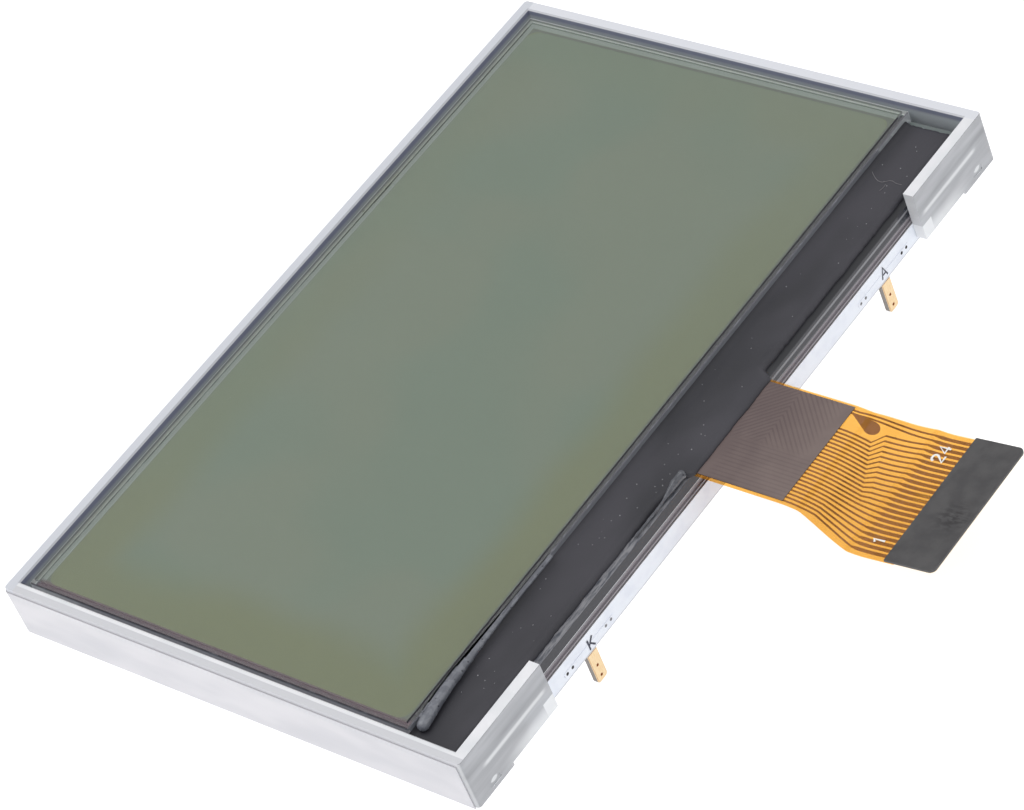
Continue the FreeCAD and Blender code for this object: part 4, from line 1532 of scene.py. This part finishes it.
@dataclass
class Cell:
    """The glass cell with its films, tapes and seal."""

    plate_low: Point = (-33.5, -17.0, 3.545)
    plate_high: Point = (33.5, 21.5, 4.638)
    arris: float = 0.07

    def build(self) -> None:
        """Dress every layer of the cell and grind the upper plate's edges."""
        dress(ViewFilm("view_film"), "upper_polariser")
        add_piece("upper_plate", self.upper_plate(), "cell_glass", "upper_glass")
        dress(LedgeGlass("lower_cell_glass"), "lower_glass")
        # The seal takes the same painted light by side: plum, dusky and slate.
        dress(FrameInk("seal_finish", tone(108, 90, 100), tone(86, 84, 90), tone(164, 168, 168),
                       opens=False), "cell_seal")
        dress(FrameInk("frame_ink"), "view_mask")
        dress(CrystalLayer("crystal_finish"), "liquid_crystal")
        dress(Mottled("lower_film_finish", tone(150, 156, 150), tone(140, 146, 142), grain=2.0,
                      roughness=0.4), "lower_polariser")
        dress(TintedFilm("port_drop", tint=tone(250, 249, 244), body=tone(206, 204, 190),
                         share=0.12), "fill_port_plug")
        dress(Mottled("milky_sheet", tone(236, 238, 240), tone(226, 228, 232), grain=1.0,
                      roughness=0.55), "diffuser_sheet")
        dress(EdgeFilm("black_tape_finish", tone(46, 46, 50), tone(36, 36, 40),
                       tone(142, 137, 143)), "led_tape", "frame_tape")

    def upper_plate(self) -> bpy.types.Mesh:
        """The upper glass with its sharp edges ground off."""
        (x0, y0, z0), (x1, y1, z1) = self.plate_low, self.plate_high
        shape = bmesh.new()
        bmesh.ops.create_cube(shape, size=1.0)
        size = Matrix.Diagonal((x1 - x0, y1 - y0, z1 - z0, 1))
        middle = Matrix.Translation(((x0 + x1) / 2, (y0 + y1) / 2, (z0 + z1) / 2))
        bmesh.ops.transform(shape, matrix=middle @ size, verts=shape.verts)
        bmesh.ops.bevel(shape, geom=shape.edges[:], offset=self.arris, segments=1,
                        affect="EDGES")
        mesh = bpy.data.meshes.new("upper_plate")
        shape.to_mesh(mesh)
        shape.free()
        mesh.transform(Matrix.Scale(MM, 4))
        mesh.materials.append(ClearPlate("clear_plate").material())
        return mesh


def eased(low: float, high: float, value: float) -> float:
    """A smooth step, as a plain number.

    Args:
        low: where the step is 0.
        high: where it is 1.
        value: where it is wanted.

    Returns:
        The step, from 0 to 1.
    """
    share = min(max((value - low) / (high - low), 0.0), 1.0)
    return share * share * (3 - 2 * share)


@dataclass
class LedgeCoat:
    """Black resin brushed over the ledge.

    It thins out at its ragged front, climbs the glass and the wall that it touches, and runs a
    little way onto the ribbon's root.
    """

    left: float = -33.93
    right: float = 33.05
    back: float = -17.0
    front: float = -21.2
    root_front: float = -22.25
    glass_top: float = 3.502
    top: float = 3.85
    root_middle: float = 0.55
    root_half: float = 5.15
    root_top: float = 3.66
    root_back: float = -20.25
    chip_half: float = 5.0
    chip_y: Pair = (-19.3, -18.1)
    chip_top: float = 3.81
    margin: float = 0.12
    least: float = 0.06
    lift: float = 0.006
    root_slope: Pair = (0.7, -0.1)
    tongue_x: float = -6.2
    tongue: float = 0.25
    tongue_slope: Pair = (2.2, 0.6)
    front_rag: float = 0.11
    root_rag: float = 0.04
    right_rag: float = 0.3
    brow: float = 0.05
    brow_slope: Pair = (0.9, 0.35)
    front_round: float = 0.42
    right_round: float = 0.35
    back_climb: float = 0.34
    left_climb: float = 0.28
    climb_reach: float = 0.15
    columns: int = 460
    rows: int = 36

    def ragged(self, along: float, seed: float, size: float) -> float:
        """An uneven amount along an edge, coarse and fine.

        Args:
            along: the place on the edge.
            seed: tells one edge from another.
            size: about how large it gets.

        Returns:
            The amount, on either side of zero.
        """
        coarse = noise.noise(Vector((along * 0.55, seed, 0.0)))
        fine = noise.noise(Vector((along * 2.6, seed, 7.0)))
        return size * (coarse + 0.45 * fine)

    def front_edge(self, x: float) -> float:
        """Where the coat ends towards the ribbon's side.

        Args:
            x: the place along the ledge.

        Returns:
            Y of the ragged edge, further out on the ribbon's root and on one tongue beside it.
        """
        off = abs(x - self.root_middle)
        on_root = eased(self.root_half + self.root_slope[0], self.root_half + self.root_slope[1],
                        off)
        tongue = self.tongue * eased(*self.tongue_slope, abs(x - self.tongue_x))
        edge = self.front + (self.root_front - self.front) * on_root - tongue
        return edge + self.ragged(x, 1.0, self.front_rag - self.root_rag * on_root)

    def right_edge(self, y: float) -> float:
        """Where the coat ends towards the anode side."""
        return self.right + self.ragged(y * 2.0, 4.0, self.right_rag)

    def floor(self, x: float, y: float) -> float:
        """The height of what the coat lies on.

        Args:
            x: the place along the ledge.
            y: the place across it.

        Returns:
            Z of the glass, of the chip or of the ribbon's root.
        """
        off = abs(x - self.root_middle)
        if off < self.root_half + self.margin and y < self.root_back + self.margin:
            return self.root_top
        low, high = self.chip_y
        if off < self.chip_half + self.margin and low - self.margin < y < high + self.margin:
            return self.chip_top
        return self.glass_top

    def height(self, x: float, y: float, front: float, right: float) -> float:
        """The height of the coat's upper side, round at two edges and climbing at the others.

        Args:
            x: the place along the ledge.
            y: the place across it.
            front: where the coat ends in front of that place.
            right: where it ends to the right of it.

        Returns:
            Z of the coat.
        """
        floor = self.floor(x, y)
        wave = 0.014 * noise.noise(Vector((x * 0.3, y * 0.8, 0))) + 0.006 * noise.noise(
            Vector((x * 1.3, y * 2.5, 3)))
        brow = self.brow * eased(*self.brow_slope, y - front)
        body = max(self.top, floor + self.least) + wave + brow
        swell = 1.0
        for gap, reach in ((y - front, self.front_round), (right - x, self.right_round)):
            share = min(max(gap / reach, 0.0), 1.0)
            swell *= math.sqrt(1 - (1 - share) ** 2)
        climb = (self.back_climb * math.exp(-(self.back - y) / self.climb_reach)
                 + self.left_climb * math.exp(-(x - self.left) / self.climb_reach))
        return floor + self.lift + (body - floor) * swell + climb * swell

    def mesh(self, finish: Finish) -> bpy.types.Mesh:
        """A closed skin of two stitched grids that follow the ragged edges.

        Args:
            finish: what the piece is made of.

        Returns:
            The mesh, in metres and in place.
        """
        upper: List[Point] = []
        lower: List[Point] = []
        for i in range(self.columns + 1):
            share = i / self.columns
            plain = self.left + share * (self.right - self.left)
            front = self.front_edge(plain)
            for j in range(self.rows + 1):
                y = front + (self.back - front) * (0.5 - 0.5 * math.cos(math.pi * j / self.rows))
                right = self.right_edge(y)
                x = plain + (right - self.right) * eased(0.94, 1.0, share)
                upper.append((x, y, self.height(x, y, front, right)))
                lower.append((x, y, self.floor(x, y)))
        half, wide = len(upper), self.rows + 1
        faces = []
        for i in range(self.columns):
            for j in range(self.rows):
                a = i * wide + j
                faces.append((a, a + wide, a + wide + 1, a + 1))
                faces.append((half + a, half + a + 1, half + a + wide + 1, half + a + wide))
        last = self.columns * wide
        rim = [i * wide for i in range(self.columns + 1)]
        rim += [last + j for j in range(1, wide)]
        rim += [i * wide + self.rows for i in range(self.columns - 1, -1, -1)]
        rim += [j for j in range(self.rows - 1, 0, -1)]
        faces += [(b, a, half + a, half + b) for a, b in zip(rim, rim[1:] + rim[:1])]
        mesh = bpy.data.meshes.new("brushed_coat")
        mesh.from_pydata([Vector(p) * MM for p in upper + lower], [], faces)
        mesh.shade_smooth()
        mesh.materials.append(finish.material())
        return mesh


@dataclass
class Ledge:
    """The glass ledge with its black resin, its silicone and the chip under them."""

    bead_path: Tuple[Point, ...] = (
        (-33.0, -17.62, 4.22), (-31.8, -17.42, 4.25), (-30.2, -17.22, 4.27), (-28.4, -17.1, 4.3),
        (-26.0, -17.03, 4.32), (-22.5, -17.02, 4.34), (-18.0, -17.03, 4.35),
        (-15.6, -17.04, 4.35))
    ridge_path: Tuple[Point, ...] = (
        (-4.75, -21.45, 3.86), (-5.6, -21.3, 3.84), (-6.8, -21.4, 3.76), (-8.6, -21.55, 3.7),
        (-11.5, -21.45, 3.66))
    hair_paths: Tuple[Tuple[Point, ...], ...] = (
        ((27.3, -17.35, 3.89), (26.7, -18.0, 3.88), (26.4, -18.8, 3.9), (27.0, -19.4, 3.88),
         (26.7, -20.0, 3.88), (26.8, -20.5, 3.88)),
        ((25.6, -19.1, 3.88), (25.95, -19.3, 3.89), (26.45, -19.2, 3.88)))

    def build(self) -> None:
        """Dress the ledge and lay the resin, the silicone and some dust on it."""
        add_piece("brushed_coat", LedgeCoat().mesh(BrushedResin("brushed_resin")), "black_resin",
                  "ledge_coating")
        silicone = ClearDrop("silicone_bead")
        bead = SqueezedRun("silicone_run", self.bead_path, start_radius=0.48, end_radius=0.13,
                           neck=0.76, floor=3.82, edge_y=-17.0, edge_z=4.642, lumps=0.06)
        add_piece(bead.name, bead.mesh(silicone), "silicone", "edge_bead")
        ridge = SqueezedRun("root_ridge", self.ridge_path, start_radius=0.38, end_radius=0.1,
                            neck=0.5, floor=3.52)
        smoky = ClearDrop("smoky_silicone", body=tone(78, 80, 87), pale=tone(94, 96, 103),
                          pit=tone(44, 44, 52))
        add_piece(ridge.name, ridge.mesh(smoky), "silicone", "root_bead")
        self.scatter()
        dress(Mottled("chip_face", tone(70, 72, 80), tone(58, 60, 68), grain=0.2,
                      roughness=0.25), "driver_chip")
        dress(Mottled("bond_line", tone(150, 140, 110), tone(130, 120, 96), grain=0.1,
                      roughness=0.4), "bonding_film")

    def scatter(self) -> None:
        """Dust on the coat and the film, and two brush hairs caught in the resin."""
        pale = Mottled("pale_dust", tone(186, 186, 190), tone(160, 160, 164), grain=0.05,
                       roughness=0.8)
        bristle = Mottled("bristle", tone(150, 148, 150), tone(132, 130, 134), grain=0.05,
                          roughness=0.6)
        for dust in (Dust("coat_dust", (0.0, -19.2, 3.862), (62.0, 3.4), count=60, seed=3),
                     Dust("film_dust", (0.0, 2.2, 4.842), (62.0, 34.0), count=46, seed=11)):
            add_piece(dust.name, dust.mesh(pale), "white_resin")
        for number, path in enumerate(self.hair_paths, start=1):
            hair = SqueezedRun("brush_hair_%d" % number, path, start_radius=0.02,
                               end_radius=0.016, neck=0.9, floor=3.8, lumps=0.0)
            add_piece(hair.name, hair.mesh(bristle), "white_resin")


@dataclass
class Ribbon:
    """The flexible ribbon: see-through films over copper traces, screen and stiffened tail."""

    last_mark: Pair = (4.8, -37.72)
    first_mark: Pair = (-4.15, -38.0)

    def build(self) -> None:
        """Dress the ribbon's layers."""
        dress(TintedFilm("amber_base"), "ribbon_base")
        dress(ScreenedFilm("screened_cover"), "ribbon_cover")
        dress(TintedFilm("amber_back", tint=(1.0, 0.78, 0.43, 1.0), body=tone(240, 178, 80)),
              "ribbon_back_film")
        dress(Mottled("trace_copper", tone(148, 104, 92), tone(130, 88, 78), grain=0.3,
                      roughness=0.4), "ribbon_traces")
        dress(Mottled("screen_copper", tone(120, 92, 84), tone(104, 80, 74), grain=0.3,
                      roughness=0.4, metal=0.3), "ribbon_shield")
        dress(RubbedPlate("tail_plate", tone(83, 82, 83), tone(69, 68, 70), grain=0.25,
                          roughness=0.5), "ribbon_stiffener")
        dress(Mottled("contact_gold", tone(244, 206, 120), tone(232, 190, 100), grain=0.2,
                      roughness=0.28, metal=0.9), "contact_fingers")
        self.print_numbers()

    def print_numbers(self) -> None:
        """The numbers of the first and the last contact, on the cover film."""
        ink = Mottled("white_print", tone(255, 255, 254), tone(251, 250, 247), grain=0.1,
                      roughness=0.45)
        pen = Lettering(0.98, stroke=0.2)
        for text, (x, y), name in (("24", self.last_mark, "last_number"),
                                   ("1", self.first_mark, "first_number")):
            mesh = pen.mesh(text, Matrix.Translation((x, y, 0)), ink, name)
            drape(mesh, "ribbon_cover", pen.thick / 2)
            add_piece(name, mesh, "white_resin")


def main() -> None:
    """Build every sub-assembly, then the studio."""
    logging.basicConfig(level=logging.INFO, format="%(message)s")
    for assembly in (Tray(), LedStrip(), Cell(), Ledge(), Ribbon()):
        assembly.build()
        log.info("%s is dressed", type(assembly).__name__)
    Studio().build()


if __name__ == "__main__":
    main()
